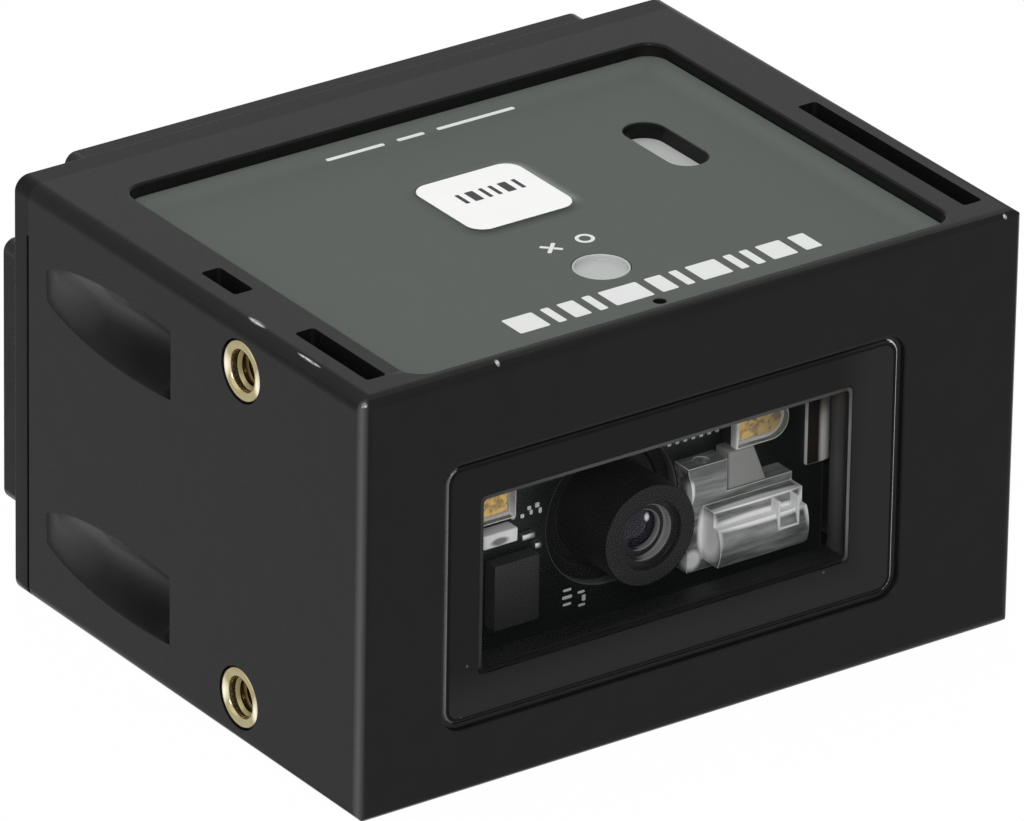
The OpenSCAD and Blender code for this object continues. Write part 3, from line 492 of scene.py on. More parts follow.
def frosted_plastic():
    """Frosted plastic of the indicator."""
    depth = 0.6 * MM
    material = grained_plastic(
        "frosted_plastic", colour_of("lamp"), gloss=0.45, roughness=0.35,
        fine=0.07 * MM, mottling=0.04, bump=0.1)[0]
    set_sockets(material, Subsurface_Weight=0.25, Subsurface_Radius=(depth, depth, depth),
        Subsurface_Scale=1.0)
    return material


def woven_membrane():
    """Woven membrane under the sound slot."""
    material = start_material("woven_membrane", Specular_IOR_Level=0.2, Roughness=0.7)
    threads = []
    for turn in (0.0, math.radians(90)):
        wave = add_node(material, "ShaderNodeTexWave")
        wave.inputs["Scale"].default_value = 1500.0
        join(material, mapped_point(material, Rotation=(0.0, 0.0, turn)), wave.inputs["Vector"])
        threads.append(wave.outputs["Fac"])
    weave = combine(material, "MULTIPLY", threads[0], threads[1])
    tone = colour_of("membrane")
    feed(material, "Base Color", blend(material, weave, shade(tone, 0.93), shade(tone, 1.05)))
    add_bump(material, weave, 0.15, 0.02 * MM)
    return material


def metal(name, colour, roughness, fine, stretch=EVEN):
    """Metal with fine tool marks, and the socket of its colour."""
    material = start_material(name, Metallic=1.0)
    marks = grain(material, fine, 2.0, stretch)
    tone = blend(material, marks, shade(colour, 0.82), shade(colour, 1.1))
    feed(material, "Base Color", tone)
    feed(material, "Roughness", spread(material, marks, roughness - 0.07, roughness + 0.09))
    add_bump(material, marks, 0.1, METAL_RELIEF)
    return material, tone


def turned_brass():
    """Turned brass of the inserts, with painted highlights on two bands of the crown and painted shade in
    the bore.
    """
    material, tone = metal(
        "turned_brass", shade(colour_of("brass"), 0.5), roughness=0.26,
        fine=0.16 * MM, stretch=(2.5, 1.0, 1.0))
    low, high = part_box("threaded_inserts")
    outer = (high.y - low.y) / 2
    across, behind = low.x / MM, ((low.y + high.y) / 2 - FRONT_Y) / MM
    # Painted highlight bands on the crown of each insert
    bands = []
    for above in ((low.z + outer) / MM, (high.z - outer) / MM):
        bands.append(((across, behind + 1.55, above - 0.15), (0.8, 0.42, 1.2)))
        bands.append(((across, behind - 1.75, above - 0.3), (0.8, 0.3, 1.2)))
    tone = blend(material, near_any(material, bands, 0.2), tone, (1.0, 0.93, 0.72))
    # Painted shade deep in the bore
    sunk = spread(material, axis_value(material, "X"), 0.0, 1.0, low.x + 0.4 * MM, low.x + 1.1 * MM)
    feed(material, "Base Color", blend(material, sunk, tone, (0.1, 0.07, 0.025)))
    return material


def blackened_steel():
    """Blackened steel of the cover screws."""
    return metal("blackened_steel", (0.085, 0.085, 0.09), roughness=0.38, fine=0.12 * MM)[0]


def plain_steel():
    """Bright plated steel of the imager screws."""
    return metal("plain_steel", (0.55, 0.56, 0.57), roughness=0.3, fine=0.12 * MM)[0]


def coil_silver():
    """Bright plated metal of the small board parts."""
    return metal("coil_silver", colour_of("silver"), roughness=0.34, fine=0.1 * MM)[0]


def coil_ends():
    """White body of the coil, dark in the middle of its front."""
    material, tone = grained_plastic(
        "coil_ends", grey(0.97), gloss=0.5, roughness=0.3, fine=0.3 * MM, mottling=0.1, bump=0.1)
    across, behind, above = front_middle("board_coil")
    core = near(material, (across - 0.1, behind, above - 0.12), (0.8, 0.3, 0.32), 0.55)
    feed(material, "Base Color", blend(material, core, tone, grey(0.2)))
    return material


def lead_gold():
    """Gold plating of the lead frames."""
    material = start_material("lead_gold", Metallic=0.75, Specular_IOR_Level=0.6)
    marks = grain(material, 0.55 * MM, 2.0)
    patches = spread(material, marks, 0.0, 1.0, 0.4, 0.6)
    feed(material, "Base Color", blend(material, patches, shade(colour_of("gold"), 0.5), (1.0, 0.66, 0.1)))
    feed(material, "Roughness", spread(material, marks, 0.2, 0.36))
    add_bump(material, marks, 0.3, 0.02 * MM)
    return material


def smeared(material, size, detail, low, high):
    """A clear material with smears that change its roughness."""
    feed(material, "Roughness", spread(material, grain(material, size, detail), low, high))
    return material


def window_glass():
    """Clear window plate with faint smears."""
    material = start_material(
        "window_glass", Base_Color=rgba(grey(0.0)), Alpha=0.08, Specular_IOR_Level=0.5)
    return smeared(material, 3.0 * MM, 4.0, 0.03, 0.1)


def window_core():
    """Inner faces of the window plate, with no gloss of their own."""
    material = start_material(
        "window_core", Base_Color=rgba(grey(0.0)), Alpha=0.05, Specular_IOR_Level=0.0)
    return smeared(material, 3.0 * MM, 4.0, 0.5, 0.6)


def lamp_clear():
    """Clear resin of the light packages."""
    material = start_material(
        "lamp_clear", Base_Color=(0.9, 0.88, 0.78, 1.0), Alpha=0.12, Specular_IOR_Level=0.6)
    return smeared(material, 0.4 * MM, 2.0, 0.06, 0.18)


def rim_grey():
    """Grey rim of the print round the clear part of the window: a painted highlight along that edge,
    lighter above and at the right.
    """
    material, tone = grained_plastic(
        "rim_grey", grey(0.011), gloss=0.25, roughness=0.35, fine=0.2 * MM, mottling=0.4, bump=0.05)
    above = near(material, (-1.4, BORDER_BEHIND, 19.4), (19.0, 0.6, 0.6))
    right = near(material, (12.2, BORDER_BEHIND, 13.4), (0.6, 0.6, 9.0))
    # Painted highlights above and at the right of the rim
    tone = blend(material, above, tone, grey(0.07))
    feed(material, "Base Color", blend(material, right, tone, grey(0.3)))
    return material


def edge_glint():
    """Upright edges of the window plate with a painted glint, brighter on the right one."""
    material, tone = grained_plastic(
        "edge_glint", grey(0.13), gloss=0.4, roughness=0.25, fine=0.3 * MM, mottling=0.3, bump=0.05)
    # Painted glint, brighter on the right edge
    right = near(material, (15.3, 0.4, 13.4), (3.0, 3.0, 40.0), 0.5)
    feed(material, "Base Color", blend(material, right, tone, grey(0.85)))
    return material


def deep_black():
    """Dull black line along the edge of the window print."""
    return grained_plastic("deep_black", grey(0.004), gloss=0.06, roughness=0.45, fine=0.15 * MM)[0]


def gasket_grey():
    """Dark seal in the gap round the window plate."""
    return grained_plastic("gasket_grey", grey(0.016), gloss=0.15, roughness=0.5, fine=0.15 * MM)[0]


def aimer_plastic():
    """Clear moulded plastic of the aimer, with painted streaks of light and shade and painted bright
    glints.
    """
    material = start_material("aimer_plastic", Specular_IOR_Level=0.8)
    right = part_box("aimer_lens")[1].x / MM
    left = right - 6.7
    middle = (left + right) / 2
    # Painted glints on the ledge, the ends, the foot and the ear: middle and half lengths in millimetres
    painted_glints = (
        ((middle, 3.7, 10.5), (4.6, 0.9, 0.42)), ((left, 4.6, 9.7), (0.5, 1.6, 1.9)),
        ((right, 4.4, 10.2), (0.45, 1.8, 1.8)), ((left - 0.8, 5.2, 8.0), (0.8, 1.0, 0.8)),
        ((left - 0.9, 5.1, 12.6), (0.3, 0.7, 0.9)), ((middle, 4.1, 11.5), (4.6, 0.5, 0.2)),
    )
    # Painted streaks of light and shade across the grey tone
    streaks = grain(material, 0.5 * MM, 4.0, (0.16, 1.0, 1.0))
    light = spread(material, streaks, 0.0, 1.0, 0.35, 0.68)
    tone = blend(material, light, (0.09, 0.092, 0.093), (0.3, 0.31, 0.31))
    feed(material, "Base Color", blend(material, near_any(material, painted_glints, 0.6), tone, grey(1.0)))
    feed(material, "Roughness", spread(material, streaks, 0.2, 0.06))
    return material


def lit_edge():
    """Painted highlight on edges of clear plastic that catch the light."""
    return grained_plastic(
        "lit_edge", (0.95, 0.96, 0.96), gloss=0.5, roughness=0.25,
        fine=0.3 * MM, mottling=0.3, bump=0.05)[0]


def cut_laminate():
    """Cut edges of the light board."""
    return grained_plastic("cut_laminate", (0.1, 0.1, 0.098), gloss=0.3, roughness=0.4, fine=0.1 * MM)[0]


def milky_plastic():
    """Milky plastic of the aimer diode."""
    return grained_plastic(
        "milky_plastic", (0.3, 0.3, 0.29), gloss=0.4, roughness=0.4,
        fine=0.1 * MM, mottling=0.06, bump=0.08)[0]


def satin_black():
    """Satin black of the lens barrel and its holder, with two thin painted highlight arcs."""
    material, tone = grained_plastic(
        "satin_black", (0.01, 0.01, 0.0105), gloss=0.16, roughness=0.36,
        fine=0.2 * MM, mottling=0.1, bump=0.04)
    across, _, above = front_middle("lens_barrel")
    behind, depth, core = 4.0, 60.0, 0.96
    # Two thin painted highlight arcs inside the mouth of the barrel
    painted_arcs = []
    for radius in (1.9, 1.4):
        inner = radius - 0.04
        disc = near(material, (across, behind, above), (radius, depth, radius), core)
        hole = near(material, (across - 0.2, behind, above + 0.05), (inner, depth, inner), core)
        painted_arcs.append(combine(material, "SUBTRACT", disc, hole))
    feed(material, "Base Color", blend(material, widest(material, painted_arcs), tone, grey(0.2)))
    return material


def coated_glass():
    """Coated glass with a cool tint and a small painted highlight."""
    material = start_material("coated_glass", Specular_IOR_Level=0.3)
    film = grain(material, 1.2 * MM, 1.0)
    tint = blend(material, film, (0.006, 0.006, 0.012), (0.014, 0.01, 0.022))
    across, behind, above = front_middle("front_lens")
    # Painted highlight: a small pale spot on the front glass
    painted_gleam = near(material, (across + 0.6, behind, above + 0.58), (0.26, 0.6, 0.3), 0.5)
    feed(material, "Base Color", blend(material, painted_gleam, tint, grey(0.9)))
    feed(material, "Roughness", spread(material, film, 0.04, 0.09))
    return material


def sensor_glass():
    """Dark glass of the image sensor."""
    return grained_plastic(
        "sensor_glass", (0.02, 0.022, 0.028), gloss=0.6, roughness=0.15,
        fine=0.3 * MM, mottling=0.2, bump=0.02)[0]


def chip_black():
    """Dark epoxy of the packages and the switch."""
    return grained_plastic("chip_black", (0.018, 0.018, 0.019), gloss=0.3, roughness=0.5, fine=0.05 * MM)[0]


def socket_grey():
    """Dark grey plastic of the socket."""
    return grained_plastic(
        "socket_grey", (0.03, 0.03, 0.031), gloss=0.3, roughness=0.45, fine=0.06 * MM, mottling=0.15)[0]


def cream_nylon():
    """Cream nylon of the cable connector and the indicator diode."""
    return grained_plastic(
        "cream_nylon", (0.72, 0.68, 0.57), gloss=0.3, roughness=0.5,
        fine=0.08 * MM, mottling=0.04, bump=0.12)[0]


def solder_mask():
    """Solder mask with faint tracks under it."""
    material = start_material("solder_mask", Specular_IOR_Level=0.22, Roughness=0.35)
    tracks = add_node(material, "ShaderNodeTexBrick", offset=0.37)
    for key, factor in (("Color1", 1.25), ("Color2", 0.8), ("Mortar", 1.5)):
        tracks.inputs[key].default_value = rgba(shade(colour_of("board"), factor))
    tracks.inputs["Scale"].default_value = 420.0
    tracks.inputs["Mortar Size"].default_value = 0.035
    upright = mapped_point(material, Rotation=(math.radians(90), 0.0, 0.0))
    join(material, upright, tracks.inputs["Vector"])
    feed(material, "Base Color", tracks.outputs["Color"])
    add_bump(material, tracks.outputs["Fac"], 0.06, 0.02 * MM)
    return material


def amber_film():
    """Amber film of the flex cable with copper lines and a painted highlight on the bend, brownish towards
    its top.
    """
    material = start_material("amber_film", Specular_IOR_Level=0.8, Roughness=0.2)
    lines = add_node(material, "ShaderNodeTexWave", bands_direction="Z")
    lines.inputs["Scale"].default_value = 700.0
    join(material, object_point(material), lines.inputs["Vector"])
    tone = blend(material, lines.outputs["Fac"], (0.016, 0.012, 0.009), (0.03, 0.02, 0.013))
    low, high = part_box("flex_cable")
    bend, behind = high.x / MM - 0.75, 6.3
    # Painted highlight along the bend, brownish towards the top
    lit = near(material, (bend, behind, low.z / MM + 1.5), (0.5, 30.0, 30.0), 0.5)
    warm = near(material, (bend, behind, high.z / MM - 0.6), (20.0, 30.0, 2.2), 0.4)
    glow = blend(material, warm, (0.9, 0.88, 0.86), (0.3, 0.16, 0.05))
    feed(material, "Base Color", blend(material, lit, tone, glow))
    return material


def finish(builder):
    """The material of a builder, made once."""
    return bpy.data.materials.get(builder.__name__) or builder()


# Mesh helpers

def merged_copy(node, kept=None):
    """The mesh of a CAD node with its triangles joined into plain faces, apart from kept places."""
    mesh = bmesh.new()
    mesh.from_mesh(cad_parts[node].data)
    bmesh.ops.remove_doubles(mesh, verts=mesh.verts, dist=MERGE)
    verts = [vert for vert in mesh.verts if kept is None or not kept(vert)]
    edges = [edge for edge in mesh.edges if kept is None or not any(map(kept, edge.verts))]
    bmesh.ops.dissolve_limit(
        mesh, angle_limit=FLAT_ANGLE, use_dissolve_boundaries=False, verts=verts, edges=edges)
    return mesh


def soften(mesh, edges, width, segments=2):
    """Rounds edges and gives the new faces."""
    return bmesh.ops.bevel(
        mesh, geom=list(edges), offset=width, offset_type="OFFSET", segments=segments,
        profile=0.5, affect="EDGES", clamp_overlap=True, material=-1)["faces"]


def sharp_edges(mesh):
    """Edges whose two faces meet at a clear corner."""
    return [edge for edge in mesh.edges
            if len(edge.link_faces) == 2 and edge.calc_face_angle(0.0) > CORNER_ANGLE]


def edges_where(mesh, test):
    """Sharp edges whose two ends pass a test."""
    return [edge for edge in sharp_edges(mesh) if all(map(test, edge.verts))]


def add_piece(mesh, name, body, slot, builder, *nodes):
    """Makes an object of a mesh, gives it its finish and ties it to its body."""
    for face in mesh.faces:
        face.smooth = True
    data = bpy.data.meshes.new(name)
    mesh.to_mesh(data)
    mesh.free()
    data.set_sharp_from_angle(angle=SHADE_ANGLE)
    data.materials.append(finish(builder))
    piece = bpy.data.objects.new(name, data)
    bpy.context.scene.collection.objects.link(piece)
    even = piece.modifiers.new("even_normals", "WEIGHTED_NORMAL")
    even.keep_sharp = True
    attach(piece, body)
    if nodes:
        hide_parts(*nodes)
    return piece


def finished_node(node, name, width, slot, builder, body="reader"):
    """A CAD node with softened edges and its finish."""
    mesh = merged_copy(node)
    if width > 0.0:
        soften(mesh, sharp_edges(mesh), width)
    add_piece(mesh, name, body, slot, builder, node)


def trimmed_node(node, name, width, slot, builder, trim, chosen):
    """A CAD node whose softened edges and chosen faces have a finish of their own."""
    mesh = merged_copy(node)
    faces = soften(mesh, sharp_edges(mesh), width)
    for face in list(faces) + [face for face in mesh.faces if chosen(face)]:
        face.material_index = 1
    piece = add_piece(mesh, name, "reader", slot, builder, node)
    piece.data.materials.append(finish(trim))


def tablet(mesh, centre, size, radius, axis=2, segments=4):
    """A small plate with round corners; axis is the direction of its thickness."""
    place = Matrix.Translation(centre) @ Matrix.Diagonal((size[0], size[1], size[2], 1.0))
    verts = bmesh.ops.create_cube(mesh, size=1.0, matrix=place)["verts"]
    edges = set()
    for vert in verts:
        for edge in vert.link_edges:
            step = edge.verts[0].co - edge.verts[1].co
            if abs(step[axis]) > 0.9 * step.length:
                edges.add(edge)
    soften(mesh, edges, radius, segments)


def printed_bar(mesh, face, place, size, corner):
    """A bar of ink on a level face, by its place and size across and along."""
    ink_step = shapes().ink_height
    centre = Vector((place[0], place[1], face + ink_step / 2))
    tablet(mesh, centre, (size[0], size[1], ink_step), corner)


def profile_line(mesh, profile, centre, axis):
    """A chain of edges through points that are given as distances along and from an axis."""
    side = ACROSS if axis == UP else UP
    verts = [mesh.verts.new(centre + axis * along + side * out) for along, out in profile]
    return verts + [mesh.edges.new(pair) for pair in zip(verts, verts[1:])]


def turned(mesh, profile, centre, axis, steps=64):
    """A round shape from points that are given as distances along and from an axis."""
    line = profile_line(mesh, profile, centre, axis)
    bmesh.ops.spin(
        mesh, geom=line, cent=centre, axis=axis, dvec=(0.0, 0.0, 0.0),
        angle=2.0 * math.pi, steps=steps, use_merge=True, use_normal_flip=False, use_duplicate=False)


def close_up(mesh):
    """Merges doubles and turns the faces outwards."""
    bmesh.ops.remove_doubles(mesh, verts=mesh.verts, dist=MERGE)
    bmesh.ops.recalc_face_normals(mesh, faces=mesh.faces)


def rounded_loop(mesh, centre, width, height, radius, segments=6, tilt=90.0):
    """Edges of a rectangle with round corners in a plane that faces the front, or the top at no tilt."""
    place = Matrix.Translation(centre) @ Matrix.Rotation(math.radians(tilt), 4, "X")
    place = place @ Matrix.Diagonal((width, height, 1.0, 1.0))
    before = set(mesh.edges)
    verts = bmesh.ops.create_grid(mesh, x_segments=1, y_segments=1, size=0.5, matrix=place)["verts"]
    bmesh.ops.bevel(
        mesh, geom=verts, offset=radius, offset_type="OFFSET", segments=segments,
        profile=0.5, affect="VERTICES", clamp_overlap=True, material=-1)
    edges = [edge for edge in mesh.edges if edge not in before]
    faces = {face for edge in edges for face in edge.link_faces}
    bmesh.ops.delete(mesh, geom=list(faces), context="FACES_ONLY")
    return edges


# Operators

class READER_OT_housing(bpy.types.Operator):
    """Moulded housing, rear cover, seal, screws and grommet"""

    bl_idname = "reader.housing"
    bl_label = "Housing and rear cover"

    def execute(self, context):
        soft = shapes().edge_soften
        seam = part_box("front_housing")[1].y
        self.round_shell(soft, seam)
        self.round_cover(1.5 * soft, seam)
        finished_node("rear_seal", "rear_gasket", 0.0, "rubber_black", soft_rubber)
        finished_node("rear_cover_screws", "cover_fasteners", 0.4 * soft, "screw_steel", blackened_steel)
        finished_node("cable_grommet", "inlet_grommet", 2.0 * soft, "rubber_black", soft_rubber)
        return {"FINISHED"}

    def round_shell(self, soft, seam):
        """The housing, rounded more round the window and the label field than elsewhere."""
        low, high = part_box("front_housing")
        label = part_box("top_label")[1].x + 0.3 * MM
        scoop_depth = 2.0 * MM

        def in_front(vert):
            return vert.co.y < FRONT_Y + ON_PLANE

        def on_top(vert):
            return vert.co.z > high.z - ON_PLANE and abs(vert.co.x) < label

        def in_scoop(vert):
            behind = vert.co.y - FRONT_Y
            beside = low.x - ON_PLANE < vert.co.x < low.x + scoop_depth
            return beside and SCOOP_FROM < behind < SCOOP_TO and MM < vert.co.z < high.z - MM

        def kept_sharp(vert):
            return vert.co.y > seam - ON_PLANE or in_scoop(vert)

        mesh = merged_copy("front_housing", in_scoop)
        for test, width in ((in_front, shapes().window_soften), (on_top, shapes().field_soften)):
            soften(mesh, edges_where(mesh, test), width, 4)
        kept = set(edges_where(mesh, kept_sharp))
        soften(mesh, [edge for edge in sharp_edges(mesh) if edge not in kept], soft)
        shell = add_piece(mesh, "housing_shell", "reader", "housing_black", moulded_black, "front_housing")
        self.part_side(shell.data)

    def part_side(self, data):
        """Keeps the flat left side apart from the scoops in its shading."""
        flat_side = -0.99999
        mesh = bmesh.new()
        mesh.from_mesh(data)
        for edge in mesh.edges:
            flat = {face.normal.x < flat_side for face in edge.link_faces}
            in_scoop = all(FRONT_Y + SCOOP_FROM < vert.co.y < FRONT_Y + SCOOP_TO for vert in edge.verts)
            if len(flat) == 2 and in_scoop:
                edge.smooth = False
        mesh.to_mesh(data)
        mesh.free()

    def round_cover(self, width, seam):
        """The rear cover, with its edges at the seam left sharp."""
        mesh = merged_copy("rear_cover")
        kept = set(edges_where(mesh, lambda vert: abs(vert.co.y - seam) < ON_PLANE))
        soften(mesh, [edge for edge in sharp_edges(mesh) if edge not in kept], width)
        add_piece(mesh, "rear_panel", "reader", "housing_black", cover_black, "rear_cover")


class READER_OT_inserts(bpy.types.Operator):
    """Two turned brass inserts with a cut thread"""

    bl_idname = "reader.inserts"
    bl_label = "Threaded inserts"

    def execute(self, context):
        low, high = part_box("threaded_inserts")
        outer = (high.y - low.y) / 2
        length = high.x - low.x
        root = 1.32 * MM
        crown = 0.24 * MM
        half = (outer - root) / 2
        steps = 10
        dome = []
        for step in range(steps + 1):
            turn = math.pi * step / steps
            dome.append((crown * (1.0 - math.sin(turn)), root + half + half * math.cos(turn)))
        sleeve = dome + [(length, root), (length, outer), dome[0]]
        mesh = bmesh.new()
        for height in (low.z + outer, high.z - outer):
            centre = Vector((low.x, (low.y + high.y) / 2, height))
            turned(mesh, sleeve, centre, ACROSS)
            self.cut_thread(mesh, centre, root, length)
        close_up(mesh)
        add_piece(mesh, "brass_inserts", "reader", "insert_brass", turned_brass, "threaded_inserts")
        return {"FINISHED"}

    def cut_thread(self, mesh, centre, root, length):
        """One helical ridge along the bore."""
        pitch = shapes().thread_pitch
        crest = root - shapes().thread_depth
        start = 0.3 * MM
        turns = int((length - start) / pitch) - 1
        per_turn = 40
        profile = ((0.0, root), (0.38 * pitch, crest), (0.62 * pitch, crest), (pitch, root))
        line = profile_line(mesh, [(start + step, out) for step, out in profile], centre, ACROSS)
        bmesh.ops.spin(
            mesh, geom=line, cent=centre, axis=ACROSS, dvec=ACROSS * (pitch / per_turn),
            angle=2.0 * math.pi * turns, steps=per_turn * turns,
            use_merge=False, use_normal_flip=False, use_duplicate=False)


class READER_OT_window(bpy.types.Operator):
    """Clear window plate with its printed border and adhesive"""

    bl_idname = "reader.window"
    bl_label = "Window"

    def execute(self, context):
        low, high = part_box("window_plate")
        edge_round = 0.22 * MM
        glass, border, core, glint = range(4)
        mesh = merged_copy("window_plate")
        front = edges_where(mesh, lambda vert: vert.co.y < low.y + ON_PLANE)
        edge_faces = soften(mesh, front, edge_round, 4)
        for face in mesh.faces:
            face.material_index = glass if face.normal.y < -0.99 else core
        # The upright rounded edges take the painted glint, the others the black print
        for face in edge_faces:
            face.material_index = glint if abs(face.normal.x) > 0.2 else border
        sheet = add_piece(mesh, "window_sheet", "reader", "window_clear", window_glass, "window_plate")
        for builder in (ink_black, window_core, edge_glint):
            sheet.data.materials.append(finish(builder))
        finished_node("window_adhesive", "window_tape", 0.0, "rubber_black", soft_rubber)
        plate = (high.x - low.x, high.z - low.z)
        opening = (shapes().clear_width, shapes().clear_height)
        clear_place = (-0.17 * MM, 0.0)
        print_place = (clear_place[0] - 0.3 * MM, 0.25 * MM)
        rim = 0.22

        def outline(grow, radius, base=plate, shift=(0.0, 0.0)):
            return (base[0] + grow * MM, base[1] + grow * MM, radius * MM), shift

        clear = outline(0.0, 0.4, opening, clear_place)
        inner = outline(-2 * rim, 0.3, opening, clear_place)
        print_open = outline(0.1, 0.4, opening, print_place)
        self.add_frame("window_gasket", outline(0.56, 1.38), outline(0.02, 1.11), 0.42, gasket_grey)
        self.add_frame("window_line", outline(-0.44, 0.9), outline(-0.74, 0.8), PRINT_BEHIND, deep_black)
        self.add_frame("window_print", outline(-0.74, 0.8), print_open, PRINT_BEHIND, ink_black)
        self.add_frame("window_border", outline(-0.12, 1.1), clear, BORDER_BEHIND, ink_black)
        # The rim is a painted highlight round the clear part
        self.add_frame("window_rim", clear, inner, BORDER_BEHIND, rim_grey)
        return {"FINISHED"}

    def add_frame(self, name, outer, inner, behind, builder):
        """A thin frame between two rounded outlines at a depth in millimetres behind the front face."""
        low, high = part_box("window_plate")
        mesh = bmesh.new()
        edges = []
        for (width, height, radius), (right, up) in (outer, inner):
            across = (low.x + high.x) / 2 + right
            above = (low.z + high.z) / 2 + up
            centre = Vector((across, FRONT_Y + behind * MM, above))
            edges += rounded_loop(mesh, centre, width, height, radius)
        bmesh.ops.bridge_loops(mesh, edges=edges)
        bmesh.ops.recalc_face_normals(mesh, faces=mesh.faces)
        bmesh.ops.solidify(mesh, geom=mesh.faces[:], thickness=0.9 * shapes().ink_height)
        bmesh.ops.recalc_face_normals(mesh, faces=mesh.faces)
        add_piece(mesh, name, "reader", "label_film", builder)


class READER_OT_label(bpy.types.Operator):
    """Label film with plain printed marks, indicator and sound membrane"""

    bl_idname = "reader.label"
    bl_label = "Label and indicator"

    def execute(self, context):
        finished_node("top_label", "label_sheet", 0.05 * MM, "label_film", label_grey)
        finished_node("indicator_lens", "indicator_dome", 0.06 * MM, "lamp_frosted", frosted_plastic)
        finished_node("sound_membrane", "sound_cloth", 0.03 * MM, "membrane_grey", woven_membrane)
        self.print_bars()
        self.print_rule()
        self.print_signs()
        return {"FINISHED"}

    def print_bars(self):
        """A row of plain bars of mixed widths, as on any bar code."""
        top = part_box("top_label")[1].z
        widths = (2.2, 0.6, 1.2, 0.6, 2.8, 1.2, 0.6, 2.2, 0.6, 0.6, 1.8, 1.2)
        gap = 0.62
        depth, corner = 2.1 * MM, 0.12 * MM
        length = sum(widths) + gap * (len(widths) - 1)
        place = 0.9 - length / 2
        along = 5.0 * MM + FRONT_Y
        mesh = bmesh.new()
        for width in widths:
            across = (place + width / 2) * MM
            printed_bar(mesh, top, (across, along), (width * MM, depth), corner)
            place += width + gap
        add_piece(mesh, "label_bars", "reader", "key_white", ink_white)

    def print_rule(self):
        """A broken thin rule near the rear of the label."""
        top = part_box("top_label")[1].z
        along = 30.55 * MM + FRONT_Y
        thick, corner = 0.34 * MM, 0.12 * MM
        mesh = bmesh.new()
        for start, end in ((-6.2, -1.9), (-0.9, 1.1), (2.1, 7.9)):
            across = (start + end) / 2 * MM
            printed_bar(mesh, top, (across, along), ((end - start) * MM, thick), corner)
        add_piece(mesh, "label_rule", "reader", "key_white", ink_white)

    def print_signs(self):
        """A ring and a cross beside the indicator."""
        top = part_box("top_label")[1].z
        ink_step = shapes().ink_height
        along = 12.7 * MM + FRONT_Y
        ring_across, cross_across = 0.6 * MM, -1.9 * MM
        hole, rim = 0.38 * MM, 0.62 * MM
        stroke, corner = 0.26 * MM, 0.06 * MM
        mesh = bmesh.new()
        ring = ((0.0, hole), (0.0, rim), (ink_step, rim), (ink_step, hole), (0.0, hole))
        turned(mesh, ring, Vector((ring_across, along, top)), UP, 40)
        close_up(mesh)
        for turn, shift, length in ((45.0, 0.0, 1.45), (-45.0, 0.43, 0.58), (-45.0, -0.43, 0.58)):
            cross = bmesh.new()
            tablet(cross, Vector((shift * MM, 0.0, 0.0)), (length * MM, stroke, ink_step), corner)
            place = Matrix.Translation((cross_across, along, top + ink_step / 2))
            place = place @ Matrix.Rotation(math.radians(turn), 4, "Z")
            bmesh.ops.transform(cross, matrix=place, verts=cross.verts)
            holder = bpy.data.meshes.new("cross_stroke")
            cross.to_mesh(holder)
            cross.free()
            mesh.from_mesh(holder)
            bpy.data.meshes.remove(holder)
        add_piece(mesh, "label_signs", "reader", "key_white", ink_white)


